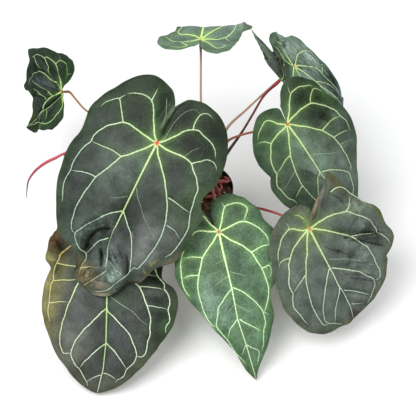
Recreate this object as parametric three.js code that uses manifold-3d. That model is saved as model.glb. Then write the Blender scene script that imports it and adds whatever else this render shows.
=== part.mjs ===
// Potted velvet-leaved anthurium hybrid: nine heart-shaped blades on their own stalks, a short crown with
// roots and dry sheaths, one drooping flower spike, and a filled nursery pot.
// Millimetres, +Z up, the pot stands on z = 0 with its axis on the Z axis; the front is -Y.
import * as THREE from 'three';
import { mergeVertices } from 'three/addons/utils/BufferGeometryUtils.js';
import Module from 'manifold-3d';

const wasm = await Module();
wasm.setup();
const { Manifold, Mesh: SolidMesh } = wasm;

// Pot
const POT_HEIGHT = 105;
const POT_RIM_RADIUS = 60;
const POT_FOOT_RADIUS = 42;
const POT_WALL = 1.5;
const POT_BAND_HEIGHT = 10;
const POT_BAND_STEP = 1.5;
const DRAIN_HOLES = 6;
const DRAIN_RADIUS = 4.5;
const DRAIN_CIRCLE = 30;
// Substrate
const SOIL_TOP = 96;
const SOIL_ROUGHNESS = 1.6;
// Crown
const CROWN_AXIS = [12, 5];
const CROWN_FOOT = 86;
const CROWN_HOLE_RADIUS = 14.2;
// Blades, and the play and distances that keep neighbouring pieces just clear
const BLADE_THICKNESS = 1;
const GAP = 0.3;
const SEAT_UNDER_BLADE = 0.48;
const STALK_CLEAR_LOW = 11.5;
const STALK_CLEAR_HIGH = 11.9;
const ROOT_START = 12.6;
const SHEATH_START = 12.9;
const RAY_STEPS = [0, 0.3, 0.56, 0.8, 1];

// Each blade is drawn flat, in millimetres: u runs along the midrib from the stalk towards the tip, v to
// the right when the tip points at the viewer. `left` and `right` follow the margin from notch to tip.
// `bumps` lift the blade locally: [u, v, half-length, half-width, heading, height].
// `folds` turn what lies past a line over a roll: [u, v, heading, roll radius, turn, side].
// The bend lists give the slope in degrees at distances from the midrib or along it; `frame` turns the
// blade into place: compass bearing and elevation of its upper face, then the turn of its tip.
const BLADES = {
  blade_front_large: {
    at: [-67, -65, 285],
    frame: [-103, 50, -20],
    colour: 0x46524c,
    midrib: [[0, 0], [53, 2], [117, 5], [160, 7], [193, 13], [223, 27], [246, 15], [266, 4]],
    left: [
      [-18, -1.5], [-38, -1.5], [-50, -2], [-63, -5], [-74, -11], [-84, -20], [-89, -33], [-92, -48],
      [-91, -61], [-84, -74], [-73, -87], [-58, -98], [-44, -106], [-30, -115], [-16, -122], [-3, -127],
      [10, -128], [24, -125], [37, -122], [49, -123], [61, -127], [76, -129], [94, -128], [111, -124],
      [130, -119], [151, -110], [171, -98], [189, -87], [203, -76], [210, -65], [213, -52], [214, -43],
      [223, -31], [236, -22], [250, -19], [262, -10], [266, 4],
    ],
    right: [
      [-18, 1.5], [-38, 1.5], [-50, 1.5], [-60, 2], [-72, 4], [-85, 11], [-90, 23], [-92, 36], [-90, 51],
      [-86, 66], [-78, 80], [-69, 90], [-57, 99], [-42, 107], [-30, 112], [-16, 115], [-3, 116], [10, 117],
      [21, 115], [30, 112], [40, 110], [49, 111], [56, 116], [65, 124], [73, 125], [85, 123], [98, 123],
      [115, 125], [132, 123], [150, 120], [161, 111], [170, 101], [180, 95], [193, 92], [205, 88],
      [213, 82], [219, 72], [227, 65], [236, 62], [248, 56], [256, 51], [264, 38], [269, 24], [266, 4],
    ],
    spine: [[-95, 10], [-20, 4], [0, 0], [120, -5], [205, -7], [235, -9], [270, -10]],
    leftBend: [[0, 9], [45, 5], [85, -6], [130, -20]],
    rightBend: [[0, 9], [45, 5], [85, -6], [130, -20]],
    bumps: [
      [192, -12, 32, 9, -4, -10],
      [199, 12, 11, 8, 0, -6],
      [176, 2, 26, 9, 10, 5],
      [185, -40, 24, 18, 0, 5],
      [-62, -30, 24, 26, 0, 7],
      [48, 112, 16, 16, 0, -5],
      [176, 92, 14, 14, 0, 5],
      [246, -14, 14, 10, 0, 5],
    ],
    folds: [],
    rows: [8, 12],
  },
  blade_front_low: {
    at: [-149, -160, 128],
    frame: [-98, 62, 4],
    colour: 0x56604a,
    midrib: [[0, 0], [80, 2], [113, 4], [153, 6], [195, 4], [220, -1], [235, -4]],
    left: [
      [-18, -3], [-38, -10], [-56, -22], [-66, -40], [-68, -58], [-60, -74], [-48, -86], [-38, -92],
      [-30, -94], [-27, -98], [-20, -100], [-8, -105], [7, -107], [15, -108], [22, -107], [28, -102],
      [34, -99], [45, -101], [53, -103], [63, -105], [73, -106], [97, -106], [107, -105], [117, -102],
      [127, -99], [145, -90], [165, -80], [180, -70], [193, -58], [207, -47], [222, -30], [232, -13],
      [235, -4],
    ],
    right: [
      [-18, 3], [-38, 8], [-56, 20], [-66, 38], [-66, 56], [-56, 72], [-40, 84], [-22, 90], [-4, 92],
      [14, 92], [36, 90], [43, 91], [48, 95], [52, 100], [57, 108], [63, 114], [72, 118], [83, 120],
      [90, 120], [103, 118], [113, 116], [123, 113], [133, 107], [143, 101], [152, 94], [160, 90],
      [173, 80], [190, 67], [198, 58], [207, 50], [222, 30], [231, 10], [235, -4],
    ],
    spine: [[-70, 4], [0, 4], [120, 0], [235, -12]],
    leftBend: [[0, 7], [50, 2], [105, -12]],
    rightBend: [[0, 7], [50, 2], [120, -12]],
    bumps: [
      [0, -92, 14, 9, 20, 8],
      [16, -76, 10, 16, 0, -6],
      [34, -96, 12, 14, 0, -5],
      [36, 92, 14, 14, 0, -5],
    ],
    folds: [],
    rows: [7, 11],
  },
  blade_front_centre: {
    at: [32, -155, 170],
    frame: [-82, 54, 9],
    colour: 0x4f7a4c,
    midrib: [[0, 0], [33, -2], [94, -4], [145, -8], [190, -5], [253, -3]],
    left: [
      [-13, -7], [-30, -13], [-43, -19], [-50, -26], [-53, -36], [-50, -48], [-40, -60], [-25, -70],
      [-8, -77], [10, -81], [29, -83], [40, -86], [50, -88], [61, -87], [76, -83], [94, -77],
      [111, -68], [132, -58], [152, -49], [171, -38], [187, -30], [201, -24], [216, -20], [229, -16],
      [241, -10], [253, -3],
    ],
    right: [
      [-13, -3], [-24, -4], [-36, -3], [-45, -1], [-51, 4], [-55, 13], [-57, 20], [-57, 30], [-54, 39],
      [-49, 46], [-43, 55], [-33, 63], [-24, 70], [-15, 75], [-3, 76], [6, 81], [15, 87], [30, 91],
      [50, 90], [70, 84], [88, 75], [106, 65], [111, 58], [118, 55], [129, 53], [150, 52], [160, 49],
      [169, 44], [180, 39], [192, 33], [201, 28], [211, 21], [234, 5], [253, -3],
    ],
    spine: [[-60, 8], [0, 2], [130, -4], [250, -16]],
    leftBend: [[0, 9], [40, 6], [90, -10]],
    rightBend: [[0, 7], [40, 3], [92, -12]],
    bumps: [[-38, -40, 22, 20, 0, 9]],
    folds: [],
    rows: [7, 10],
  },
  blade_right_low: {
    at: [182, -139, 158],
    frame: [-65, 54, 11],
    colour: 0x464f49,
    midrib: [[0, 0], [30, -2], [70, -3], [108, -4], [130, -2], [150, -2], [172, -6]],
    left: [
      [-8, 6.5], [-20, 18], [-27, 20], [-32, 18], [-38, 13], [-44, 2], [-45, -13], [-43, -28], [-37, -43],
      [-29, -58], [-18, -70], [-5, -80], [7, -85], [17, -88], [27, -93], [47, -99], [72, -104],
      [90, -107], [110, -103], [122, -100], [138, -93], [147, -87], [153, -80], [162, -67], [167, -50],
      [168, -40], [170, -30], [173, -22], [174, -14], [172, -6],
    ],
    right: [
      [-8, 9.5], [-20, 24], [-33, 39], [-48, 57], [-58, 69], [-66, 75], [-63, 78], [-55, 82], [-38, 88],
      [-22, 94], [-7, 99], [8, 106], [16, 113], [23, 120], [32, 125], [40, 127], [62, 124], [75, 127],
      [82, 127], [88, 125], [93, 120], [97, 113], [99, 107], [103, 100], [107, 94], [112, 94],
      [127, 85], [136, 78], [148, 62], [158, 43], [165, 23], [172, -6],
    ],
    spine: [[-50, 8], [0, 2], [100, -6], [175, -20]],
    leftBend: [[0, 6], [50, 2], [105, -16]],
    rightBend: [[0, 7], [50, 4], [125, -8]],
    bumps: [
      [-44, 68, 22, 26, 0, 13],
      [-14, 84, 10, 26, 20, -6],
      [84, 38, 8, 52, 28, -5],
      [96, 30, 7, 50, 28, 4],
      [62, 86, 7, 34, 24, -5],
      [48, 74, 6, 30, 22, 4],
      [118, 30, 8, 34, 30, -4],
      [100, 106, 12, 12, 0, 5],
    ],
    folds: [],
    rows: [8, 13],
  },
  blade_right_mid: {
    at: [152, 43, 220],
    frame: [-62, 54, 14],
    colour: 0x465a48,
    midrib: [[0, 0], [33, 1], [73, 0], [108, -1], [140, 1], [170, 4], [204, 8]],
    left: [
      [-12, 2.3], [-28, 5.4], [-34, 2], [-38, -5], [-42, -22], [-42, -32], [-40, -40], [-32, -53],
      [-20, -66], [-4, -78], [5, -83], [15, -86], [27, -88], [38, -87], [48, -85], [56, -83], [61, -87],
      [67, -91], [73, -94], [88, -94], [107, -91], [117, -87], [132, -79], [148, -66], [163, -51],
      [178, -34], [192, -14], [204, 8],
    ],
    right: [
      [-12, 3.5], [-28, 8], [-33, 9.5], [-38, 14], [-45, 19], [-53, 26], [-62, 41], [-63, 50], [-60, 64],
      [-48, 78], [-35, 88], [-27, 92], [-8, 94], [5, 100], [23, 107], [45, 109], [65, 107], [85, 98],
      [97, 90], [108, 80], [132, 63], [143, 57], [155, 50], [173, 38], [190, 29], [204, 8],
    ],
    spine: [[-60, 8], [0, 2], [100, -4], [204, -16]],
    leftBend: [[0, 7], [45, 3], [95, -12]],
    rightBend: [[0, 8], [50, 3], [110, -14]],
    bumps: [
      [28, 66, 10, 20, 0, -4],
      [58, -88, 12, 12, 0, -4],
    ],
    folds: [],
    rows: [8, 10],
  },
  blade_top_right: {
    at: [167, 151, 258],
    frame: [0, 46, -4],
    colour: 0x3f5246,
    midrib: [[0, 0], [25, 8], [55, 11], [70, 10], [95, 14], [120, 22], [148, 31], [180, 40]],
    left: [
      [-8, -6], [-13, -14], [-14, -26], [-10, -38], [-2, -48], [10, -55], [24, -58], [42, -58],
      [62, -54], [85, -46], [108, -34], [130, -18], [150, 0], [166, 18], [180, 40],
    ],
    right: [
      [-10, -6], [-20, -8], [-26, -2], [-33, 6], [-42, 5], [-52, 1], [-63, -3], [-70, 4], [-71, 12],
      [-68, 23], [-62, 33], [-55, 42],
      [-46, 49], [-36, 53], [-28, 57], [-21, 64], [-14, 74], [-7, 85], [0, 95], [11, 103], [26, 105],
      [45, 102], [62, 95], [80, 89], [98, 84], [115, 79], [134, 76], [152, 69], [166, 58], [180, 40],
    ],
    spine: [[-70, -8], [0, 0], [90, 0], [172, -34]],
    leftBend: [[0, 0], [16, -14], [36, -44], [60, -58]],
    rightBend: [[0, 2], [40, 2], [90, -12]],
    bumps: [[-50, 20, 16, 22, 0, 6]],
    folds: [],
    rows: [11, 9],
  },
  blade_top_folded: {
    at: [146, 148, 229],
    frame: [19, 40, 90],
    colour: 0x4a5247,
    midrib: [[0, 0], [50, -1], [100, -2], [150, 0]],
    left: [
      [-4, -3], [-8, -8], [-5, -13], [8, -16], [26, -18], [42, -26], [56, -42], [70, -57], [86, -67],
      [105, -68], [120, -62], [128, -54], [133, -45], [136, -34], [140, -22], [145, -12], [150, 0],
    ],
    right: [
      [-14, 3], [-28, 6], [-40, 14], [-46, 28], [-44, 43], [-36, 55], [-24, 63], [-8, 66], [10, 64],
      [30, 59], [60, 50], [85, 41], [108, 30], [128, 18], [142, 8], [150, 0],
    ],
    spine: [[-50, 0], [150, 0]],
    leftBend: [[0, 0], [70, -6]],
    rightBend: [[0, 11], [60, 12]],
    bumps: [[2, 50, 18, 22, 0, -4]],
    folds: [[-3, 0, 176, 5, 158, 1]],
    rows: [9, 8],
  },
  blade_back: {
    at: [2, 141, 328],
    frame: [84, 80, 0],
    colour: 0x55705c,
    midrib: [[0, 0], [30, -1], [70, 0], [100, 0]],
    left: [
      [-14, -1], [-22, -1.5], [-30, -3], [-38, -7], [-45, -12], [-52, -18], [-57, -25], [-60, -33],
      [-58, -42], [-53, -50], [-45, -56], [-35, -60], [-25, -64], [-12, -67], [0, -69], [10, -72],
      [14, -79], [16, -86], [22, -88], [27, -84], [31, -76], [45, -66], [60, -58], [78, -44],
      [90, -26], [97, -12], [100, 0],
    ],
    right: [
      [-14, 1.5], [-22, 3], [-32, 12], [-40, 18], [-48, 25], [-52, 32], [-54, 40], [-54, 47], [-50, 55],
      [-45, 62], [-38, 67], [-30, 70], [-20, 72], [-10, 72], [-3, 70], [2, 60], [12, 52], [23, 46],
      [35, 46], [52, 42], [70, 34], [84, 22], [95, 10], [100, 0],
    ],
    spine: [[-90, -8], [-10, -4], [5, 12], [27, 10], [38, -36], [60, -42], [150, -46]],
    leftBend: [[0, 6], [40, 8], [60, 13], [90, 16]],
    rightBend: [[0, 5], [40, 2], [90, -12]],
    bumps: [[30, 50, 20, 24, 0, -7]],
    folds: [],
    rows: [8, 13],
  },
  blade_left: {
    at: [-239, 87, 256],
    frame: [216, 30, -43.6],
    colour: 0x3c4f42,
    midrib: [[0, 0], [20, 0], [40, 3], [56, 7], [76, 17], [96, 26], [120, 31], [146, 33]],
    left: [
      [-2, -3], [-8, -8], [-15, -10], [-25, -13], [-33, -17], [-40, -22], [-45, -28], [-47, -34],
      [-45, -41], [-38, -48], [-20, -62], [-3, -68], [5, -73], [25, -84], [38, -89], [52, -92],
      [65, -95], [78, -99], [90, -102], [107, -101], [97, -89], [93, -82], [94, -76], [106, -63],
      [114, -49], [129, -42], [124, -36], [108, -28], [101, -12], [105, 4], [102, 20], [108, 25],
      [130, 29.5], [146, 33],
    ],
    right: [
      [-4, 6], [-9, 18], [-13, 28], [-14, 38], [-13, 48], [-8, 54], [0, 59], [10, 63], [20, 65], [32, 62],
      [45, 61], [58, 57], [68, 54], [77, 57], [88, 56], [100, 52], [115, 46], [128, 41], [146, 33],
    ],
    spine: [[-100, -8], [0, 2], [60, -6], [150, -14]],
    leftBend: [[0, 2], [50, 0], [100, -10]],
    rightBend: [[0, 20], [40, 16], [100, -10]],
    bumps: [
      [100, -78, 12, 14, 0, -6],
      [104, 0, 16, 20, 0, -8],
    ],
    folds: [],
    rows: [6, 14],
  },
};

// Stalks: points on the way from the crown to the blade they carry, foot and top radius.
const STALKS = {
  petiole_front_large: {
    blade: 'blade_front_large', base: 205, way: [[-16, -11, 200], [-46, -38, 250]], foot: 3.6, top: 2.5,
    colour: 0x7a4a3c,
  },
  petiole_front_low: {
    blade: 'blade_front_low', base: 240, way: [[-34, -44, 147], [-101, -112, 134]], foot: 3.6, top: 2.4,
    colour: 0x7a4a3c,
  },
  petiole_front_centre: {
    blade: 'blade_front_centre', base: 277, way: [[24, -52, 146], [29, -108, 154]], foot: 3.4, top: 2.3,
    colour: 0x8a4a38,
  },
  petiole_right_low: {
    blade: 'blade_right_low',
    base: 315,
    way: [[40, -42, 120], [70, -66, 132], [107, -87, 147], [144, -108, 152]],
    foot: 3.4, top: 2.2, colour: 0x7a2c26,
  },
  petiole_right_mid: {
    blade: 'blade_right_mid', base: 352, way: [[48, 34, 186], [68, 41, 194], [91, 44, 200], [124, 48, 203]],
    foot: 3.4, top: 2.1, colour: 0xa0523c,
  },
  petiole_top_folded: {
    blade: 'blade_top_folded',
    base: 30,
    way: [[50, 32, 163], [75, 62, 183], [95, 91, 200], [114, 119, 216]],
    foot: 3.4, top: 2.1, colour: 0x6a2222,
  },
  petiole_top_right: {
    blade: 'blade_top_right',
    base: 66,
    way: [[47, 71, 180], [84, 108, 194], [122, 151, 200], [149, 178, 206], [162, 184, 214], [164, 170, 230]],
    foot: 3.2, top: 1.9, colour: 0xb08a72,
  },
  petiole_back: {
    blade: 'blade_back', base: 100, way: [[2, 87, 237], [2, 107, 276], [2, 131, 308]], foot: 3.4, top: 2,
    colour: 0x9a7260,
  },
  petiole_left: {
    blade: 'blade_left',
    base: 140,
    way: [[-88, 45, 179], [-158, 62, 207], [-199, 73, 225], [-217, 86, 240]],
    foot: 3.4, top: 2.1, colour: 0xb07a4a,
  },
};

// Dry sheaths between the stalks: bearing of the foot on the crown, length and half width.
const SHEATHS = {
  sheath_left: { bearing: 222, length: 34, half: 3.4 },
  sheath_front: { bearing: 296, length: 30, half: 3 },
  sheath_back: { bearing: 120, length: 38, half: 3.4 },
};

// Roots above the substrate: bearing and height of the start, then how far out and how high they pass.
const ROOTS = {
  root_right: { bearing: 12, start: 107, way: [[26, 108], [41, 103.6]], radius: 3 },
  root_front: { bearing: 334, start: 106, way: [[21, 105.5], [28, 102.4]], radius: 2.2 },
  root_front_left: { bearing: 258, start: 106, way: [[20, 105.5], [27, 102.6]], radius: 2.2 },
  root_back: { bearing: 82, start: 106, way: [[22, 106], [31, 103]], radius: 2.4 },
};

// Narrow bract at the foot of the spike, bent back under the flower stalk.
const SPATHE = {
  at: [-236.2, 4.2, 184.5],
  frame: [20, 62, 0],
  colour: 0x8a7a4a,
  midrib: [[0, 0], [40, 0], [84, 0]],
  left: [[2, -3], [8, -7], [18, -9], [34, -9.5], [52, -7.5], [68, -4], [84, 0]],
  right: [[2, 3], [8, 7], [18, 9], [34, 9.5], [52, 7.5], [68, 4], [84, 0]],
  spine: [[0, -4], [84, -22]],
  leftBend: [[0, 14], [10, 20]],
  rightBend: [[0, 14], [10, 20]],
  bumps: [],
  folds: [],
  rows: [2, 7],
};

// Flower stalk and spike, drooping to the left; the spike tapers towards its tip.
const PEDUNCLE_BASE = 172;
const PEDUNCLE_WAY = [[-88, 30, 170], [-158, 34, 186], [-209, 19, 189], [-236, 5, 187]];
const PEDUNCLE_RADII = [3.2, 2.4, 1.9, 1.8, 1.8];
const SPADIX_WAY = [
  [-236.5, 4.7, 186.9], [-250, -4, 185], [-262, -10, 183], [-281, -25, 178], [-293, -42, 170],
  [-295, -59, 162], [-295, -70, 157],
];
const SPADIX_RADII = [1.9, 2.7, 2.7, 2.3, 1.7, 1.2, 0.6];

const degrees = (value) => (value * Math.PI) / 180;

// Value at `x` of a polyline given as [x, y] pairs, flat beyond its ends.
function along(list, x) {
  if (x <= list[0][0]) return list[0][1];
  for (let i = 1; i < list.length; i += 1) {
    const [x1, y1] = list[i];
    const [x0, y0] = list[i - 1];
    if (x <= x1) return y0 + ((y1 - y0) * (x - x0)) / (x1 - x0);
  }
  return list[list.length - 1][1];
}

// A strip bent to a list of slopes: the place of a point at that distance and height above the strip.
function bent(slopes, distance, lift) {
  const step = distance < 0 ? -1 : 1;
  const whole = Math.floor(Math.abs(distance));
  let x = 0;
  let z = 0;
  for (let i = 0; i < whole; i += 1) {
    const slope = degrees(along(slopes, step * (i + 0.5)));
    x += step * Math.cos(slope);
    z += step * Math.sin(slope);
  }
  const rest = distance - step * whole;
  const slope = degrees(along(slopes, distance));
  x += rest * Math.cos(slope);
  z += rest * Math.sin(slope);
  return [x - lift * Math.sin(slope), z + lift * Math.cos(slope)];
}

// What lies past the fold line is rolled over it.
function folded([u, v, z], [fu, fv, heading, radius, turn]) {
  const du = Math.cos(degrees(heading));
  const dv = Math.sin(degrees(heading));
  const past = (u - fu) * du + (v - fv) * dv;
  if (past <= 0) return [u, v, z];
  const arc = Math.min(past / radius, degrees(turn));
  const rest = Math.max(past - radius * degrees(turn), 0);
  const ahead = radius * Math.sin(arc) + rest * Math.cos(arc) - z * Math.sin(arc);
  const raised = radius * (1 - Math.cos(arc)) + rest * Math.sin(arc) + z * Math.cos(arc);
  return [u + du * (ahead - past), v + dv * (ahead - past), raised];
}

// Axes of a blade: towards its tip, to its right, and out of its upper face.
function bladeAxes([bearing, elevation, turn]) {
  const a = degrees(bearing);
  const e = degrees(elevation);
  const t = degrees(turn);
  const out = new THREE.Vector3(Math.cos(e) * Math.cos(a), Math.cos(e) * Math.sin(a), Math.sin(e));
  const down = new THREE.Vector3(Math.sin(e) * Math.cos(a), Math.sin(e) * Math.sin(a), -Math.cos(e));
  const level = new THREE.Vector3().crossVectors(out, down);
  const tip = down.multiplyScalar(Math.cos(t)).addScaledVector(level, Math.sin(t));
  return { tip, right: new THREE.Vector3().crossVectors(out, tip), out };
}

// Place in the plant of a point of the flat blade, `lift` above its middle surface.
function bladePoint(blade, u, v, side, lift) {
  let z = lift;
  for (const [bu, bv, length, width, heading, height] of blade.bumps) {
    const c = Math.cos(degrees(heading));
    const s = Math.sin(degrees(heading));
    const a = ((u - bu) * c + (v - bv) * s) / length;
    const b = ((v - bv) * c - (u - bu) * s) / width;
    z += height * Math.exp(-(a * a + b * b));
  }
  let point = [u, v, z];
  for (const fold of blade.folds) {
    if (fold[5] === side) point = folded(point, fold);
  }
  const centre = along(blade.midrib, point[0]);
  const slopes = side > 0 ? blade.rightBend : blade.leftBend;
  const [across, high] = bent(slopes, side * (point[1] - centre), point[2]);
  const [ahead, raised] = bent(blade.spine, point[0], high);
  const axes = bladeAxes(blade.frame);
  return new THREE.Vector3(...blade.at)
    .addScaledVector(axes.tip, ahead)
    .addScaledVector(axes.right, centre + side * across)
    .addScaledVector(axes.out, raised);
}

function lengths(points) {
  const result = [0];
  for (let i = 1; i < points.length; i += 1) {
    const step = Math.hypot(points[i][0] - points[i - 1][0], points[i][1] - points[i - 1][1]);
    result.push(result[i - 1] + step);
  }
  return result;
}

function pointAt(points, measure, distance) {
  for (let i = 1; i < points.length; i += 1) {
    if (distance <= measure[i] || i === points.length - 1) {
      const t = Math.min((distance - measure[i - 1]) / (measure[i] - measure[i - 1]), 1);
      return points[i - 1].map((value, axis) => value + t * (points[i][axis] - value));
    }
  }
  return points[0];
}

// Rays of one half blade, each a list of flat points from the midrib to the margin: first a fan round the
// stalk for the basal lobe, then ribs leaving the midrib at even steps up to the tip.
function halfRays(margin, midrib, [fan, ribs]) {
  const outline = [[0, 0], ...margin];
  const measure = lengths(outline);
  const total = measure[measure.length - 1];
  let shoulder = total / 2;
  for (let i = 1; i < outline.length; i += 1) {
    if (outline[i - 1][0] < 0 && outline[i][0] >= 0) shoulder = measure[i];
  }
  const spread = lengths(midrib);
  const rays = [];
  const used = new Set();
  const marginPoint = (distance) => {
    const nearest = measure.findIndex((value) => Math.abs(value - distance) < 4.5);
    if (nearest > 0 && !used.has(nearest)) {
      used.add(nearest);
      return outline[nearest];
    }
    return pointAt(outline, measure, distance);
  };
  for (let i = 1; i <= fan; i += 1) {
    rays.push([[0, 0], marginPoint((shoulder * i) / fan)]);
  }
  for (let k = 1; k < ribs; k += 1) {
    const root = pointAt(midrib, spread, (spread[spread.length - 1] * k) / ribs);
    rays.push([root, marginPoint(shoulder + ((total - shoulder) * k) / ribs)]);
  }
  const between = (root, end, t) => root.map((value, axis) => value + t * (end[axis] - value));
  return rays.map(([root, end]) => RAY_STEPS.map((t) => between(root, end, t)));
}

// Closed solid of a blade: upper and lower face with the same triangles, joined round the margin.
function bladeGeometry(blade) {
  const positions = [];
  const keys = new Map();
  const vertex = (point, side, face) => {
    const key = `${point[0].toFixed(4)},${point[1].toFixed(4)},${face}`;
    if (!keys.has(key)) {
      const place = bladePoint(blade, point[0], point[1], side, (face * BLADE_THICKNESS) / 2);
      keys.set(key, positions.length / 3);
      positions.push(place.x, place.y, place.z);
    }
    return keys.get(key);
  };
  const triangles = [];
  const tip = blade.midrib[blade.midrib.length - 1];
  for (const side of [-1, 1]) {
    const rays = halfRays(side > 0 ? blade.right : blade.left, blade.midrib, blade.rows);
    rays.push(RAY_STEPS.map(() => tip));
    for (let i = 1; i < rays.length; i += 1) {
      for (let j = 1; j < RAY_STEPS.length; j += 1) {
        const quad = [rays[i - 1][j - 1], rays[i][j - 1], rays[i][j], rays[i - 1][j]];
        const even = (i + j) % 2 === 0;
        const pairs = even ? [[0, 1, 2], [0, 2, 3]] : [[0, 1, 3], [1, 2, 3]];
        for (const [a, b, c] of pairs) {
          const corners = side < 0 ? [quad[a], quad[b], quad[c]] : [quad[c], quad[b], quad[a]];
          triangles.push(corners.map((corner) => [corner, side]));
        }
      }
    }
  }
  const index = [];
  const edges = new Map();
  for (const corners of triangles) {
    const top = corners.map(([point, side]) => vertex(point, side, 1));
    const low = corners.map(([point, side]) => vertex(point, side, -1));
    if (new Set(top).size === 3) {
      index.push(top[2], top[1], top[0], low[0], low[1], low[2]);
      for (let e = 0; e < 3; e += 1) {
        const from = e;
        const to = (e + 1) % 3;
        const back = `${top[to]}_${top[from]}`;
        if (edges.has(back)) edges.delete(back);
        else edges.set(`${top[from]}_${top[to]}`, [top[from], top[to], low[from], low[to]]);
      }
    }
  }
  for (const [a, b, c, d] of edges.values()) {
    index.push(a, b, d, a, d, c);
  }
  const geometry = new THREE.BufferGeometry();
  geometry.setAttribute('position', new THREE.Float32BufferAttribute(positions, 3));
  geometry.setIndex(index);
  return geometry;
}

// Round limb along a smooth path, its radius read from an even list of radii, closed at both ends.
function limbGeometry(points, radii, steps, sides) {
  const stations = points.map((point) => new THREE.Vector3(...point));
  const path = new THREE.CatmullRomCurve3(stations, false, 'centripetal');
  const frames = path.computeFrenetFrames(steps, false);
  const positions = [];
  const index = [];
  for (let i = 0; i <= steps; i += 1) {
    const centre = path.getPointAt(i / steps);
    const place = (i / steps) * (radii.length - 1);
    const low = Math.min(Math.floor(place), radii.length - 2);
    const radius = radii[low] + (radii[low + 1] - radii[low]) * (place - low);
    for (let j = 0; j < sides; j += 1) {
      const angle = (2 * Math.PI * j) / sides;
      const point = centre.clone()
        .addScaledVector(frames.normals[i], radius * Math.cos(angle))
        .addScaledVector(frames.binormals[i], radius * Math.sin(angle));
      positions.push(point.x, point.y, point.z);
    }
  }
  for (let i = 0; i < steps; i += 1) {
    for (let j = 0; j < sides; j += 1) {
      const a = i * sides + j;
      const b = i * sides + ((j + 1) % sides);
      index.push(a, b, b + sides, a, b + sides, a + sides);
    }
  }
  const end = steps * sides;
  for (let j = 1; j < sides - 1; j += 1) {
    index.push(0, j + 1, j, end, end + j, end + j + 1);
  }
  const geometry = new THREE.BufferGeometry();
  geometry.setAttribute('position', new THREE.Float32BufferAttribute(positions, 3));
  geometry.setIndex(index);
  return geometry;
}

function solidOf(geometry) {
  const bare = new THREE.BufferGeometry();
  bare.setAttribute('position', geometry.getAttribute('position'));
  bare.setIndex(geometry.getIndex());
  const merged = mergeVertices(bare, 1e-3);
  return new Manifold(new SolidMesh({
    numProp: 3,
    vertProperties: Float32Array.from(merged.getAttribute('position').array),
    triVerts: Uint32Array.from(merged.getIndex().array),
  }));
}

function geometryOf(solid) {
  const mesh = solid.getMesh();
  const geometry = new THREE.BufferGeometry();
  const positions = Float32Array.from(mesh.vertProperties);
  geometry.setAttribute('position', new THREE.BufferAttribute(positions, 3));
  geometry.setIndex(new THREE.Uint32BufferAttribute(Uint32Array.from(mesh.triVerts), 1));
  return geometry;
}

// Profile points [radius, height] turned round the pot's axis.
function turned(profile, segments) {
  const lathe = new THREE.LatheGeometry(profile.map(([r, z]) => new THREE.Vector2(r, z)), segments);
  lathe.rotateX(Math.PI / 2);
  return lathe;
}

function wallRadius(height) {
  const taper = (POT_RIM_RADIUS - POT_BAND_STEP - POT_FOOT_RADIUS) / (POT_HEIGHT - POT_BAND_HEIGHT);
  return POT_FOOT_RADIUS + taper * height - POT_WALL;
}

// Pot: tapered wall with a stepped band at the rim and drain holes in the floor.
function potGeometry() {
  const shelf = POT_HEIGHT - POT_BAND_HEIGHT;
  const shell = solidOf(turned([
    [0, 0], [POT_FOOT_RADIUS - 1, 0], [POT_FOOT_RADIUS, 1.2], [POT_RIM_RADIUS - POT_BAND_STEP, shelf],
    [POT_RIM_RADIUS, shelf], [POT_RIM_RADIUS, POT_HEIGHT - 1], [POT_RIM_RADIUS - 0.8, POT_HEIGHT],
    [POT_RIM_RADIUS - 2, POT_HEIGHT], [wallRadius(shelf), shelf - 1], [wallRadius(POT_WALL), POT_WALL],
    [0, POT_WALL],
  ], 40));
  let pot = shell;
  for (let i = 0; i < DRAIN_HOLES; i += 1) {
    const hole = new THREE.CylinderGeometry(DRAIN_RADIUS, DRAIN_RADIUS, 6, 12);
    hole.rotateX(Math.PI / 2);
    const angle = (2 * Math.PI * i) / DRAIN_HOLES;
    hole.translate(DRAIN_CIRCLE * Math.cos(angle), DRAIN_CIRCLE * Math.sin(angle), 0);
    pot = pot.subtract(solidOf(hole));
  }
  return geometryOf(pot);
}

function crownAxisAt(height) {
  const t = Math.max(height - 100, 0) / 44;
  return [CROWN_AXIS[0] + 2 * t, CROWN_AXIS[1] + 3 * t];
}

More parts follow.
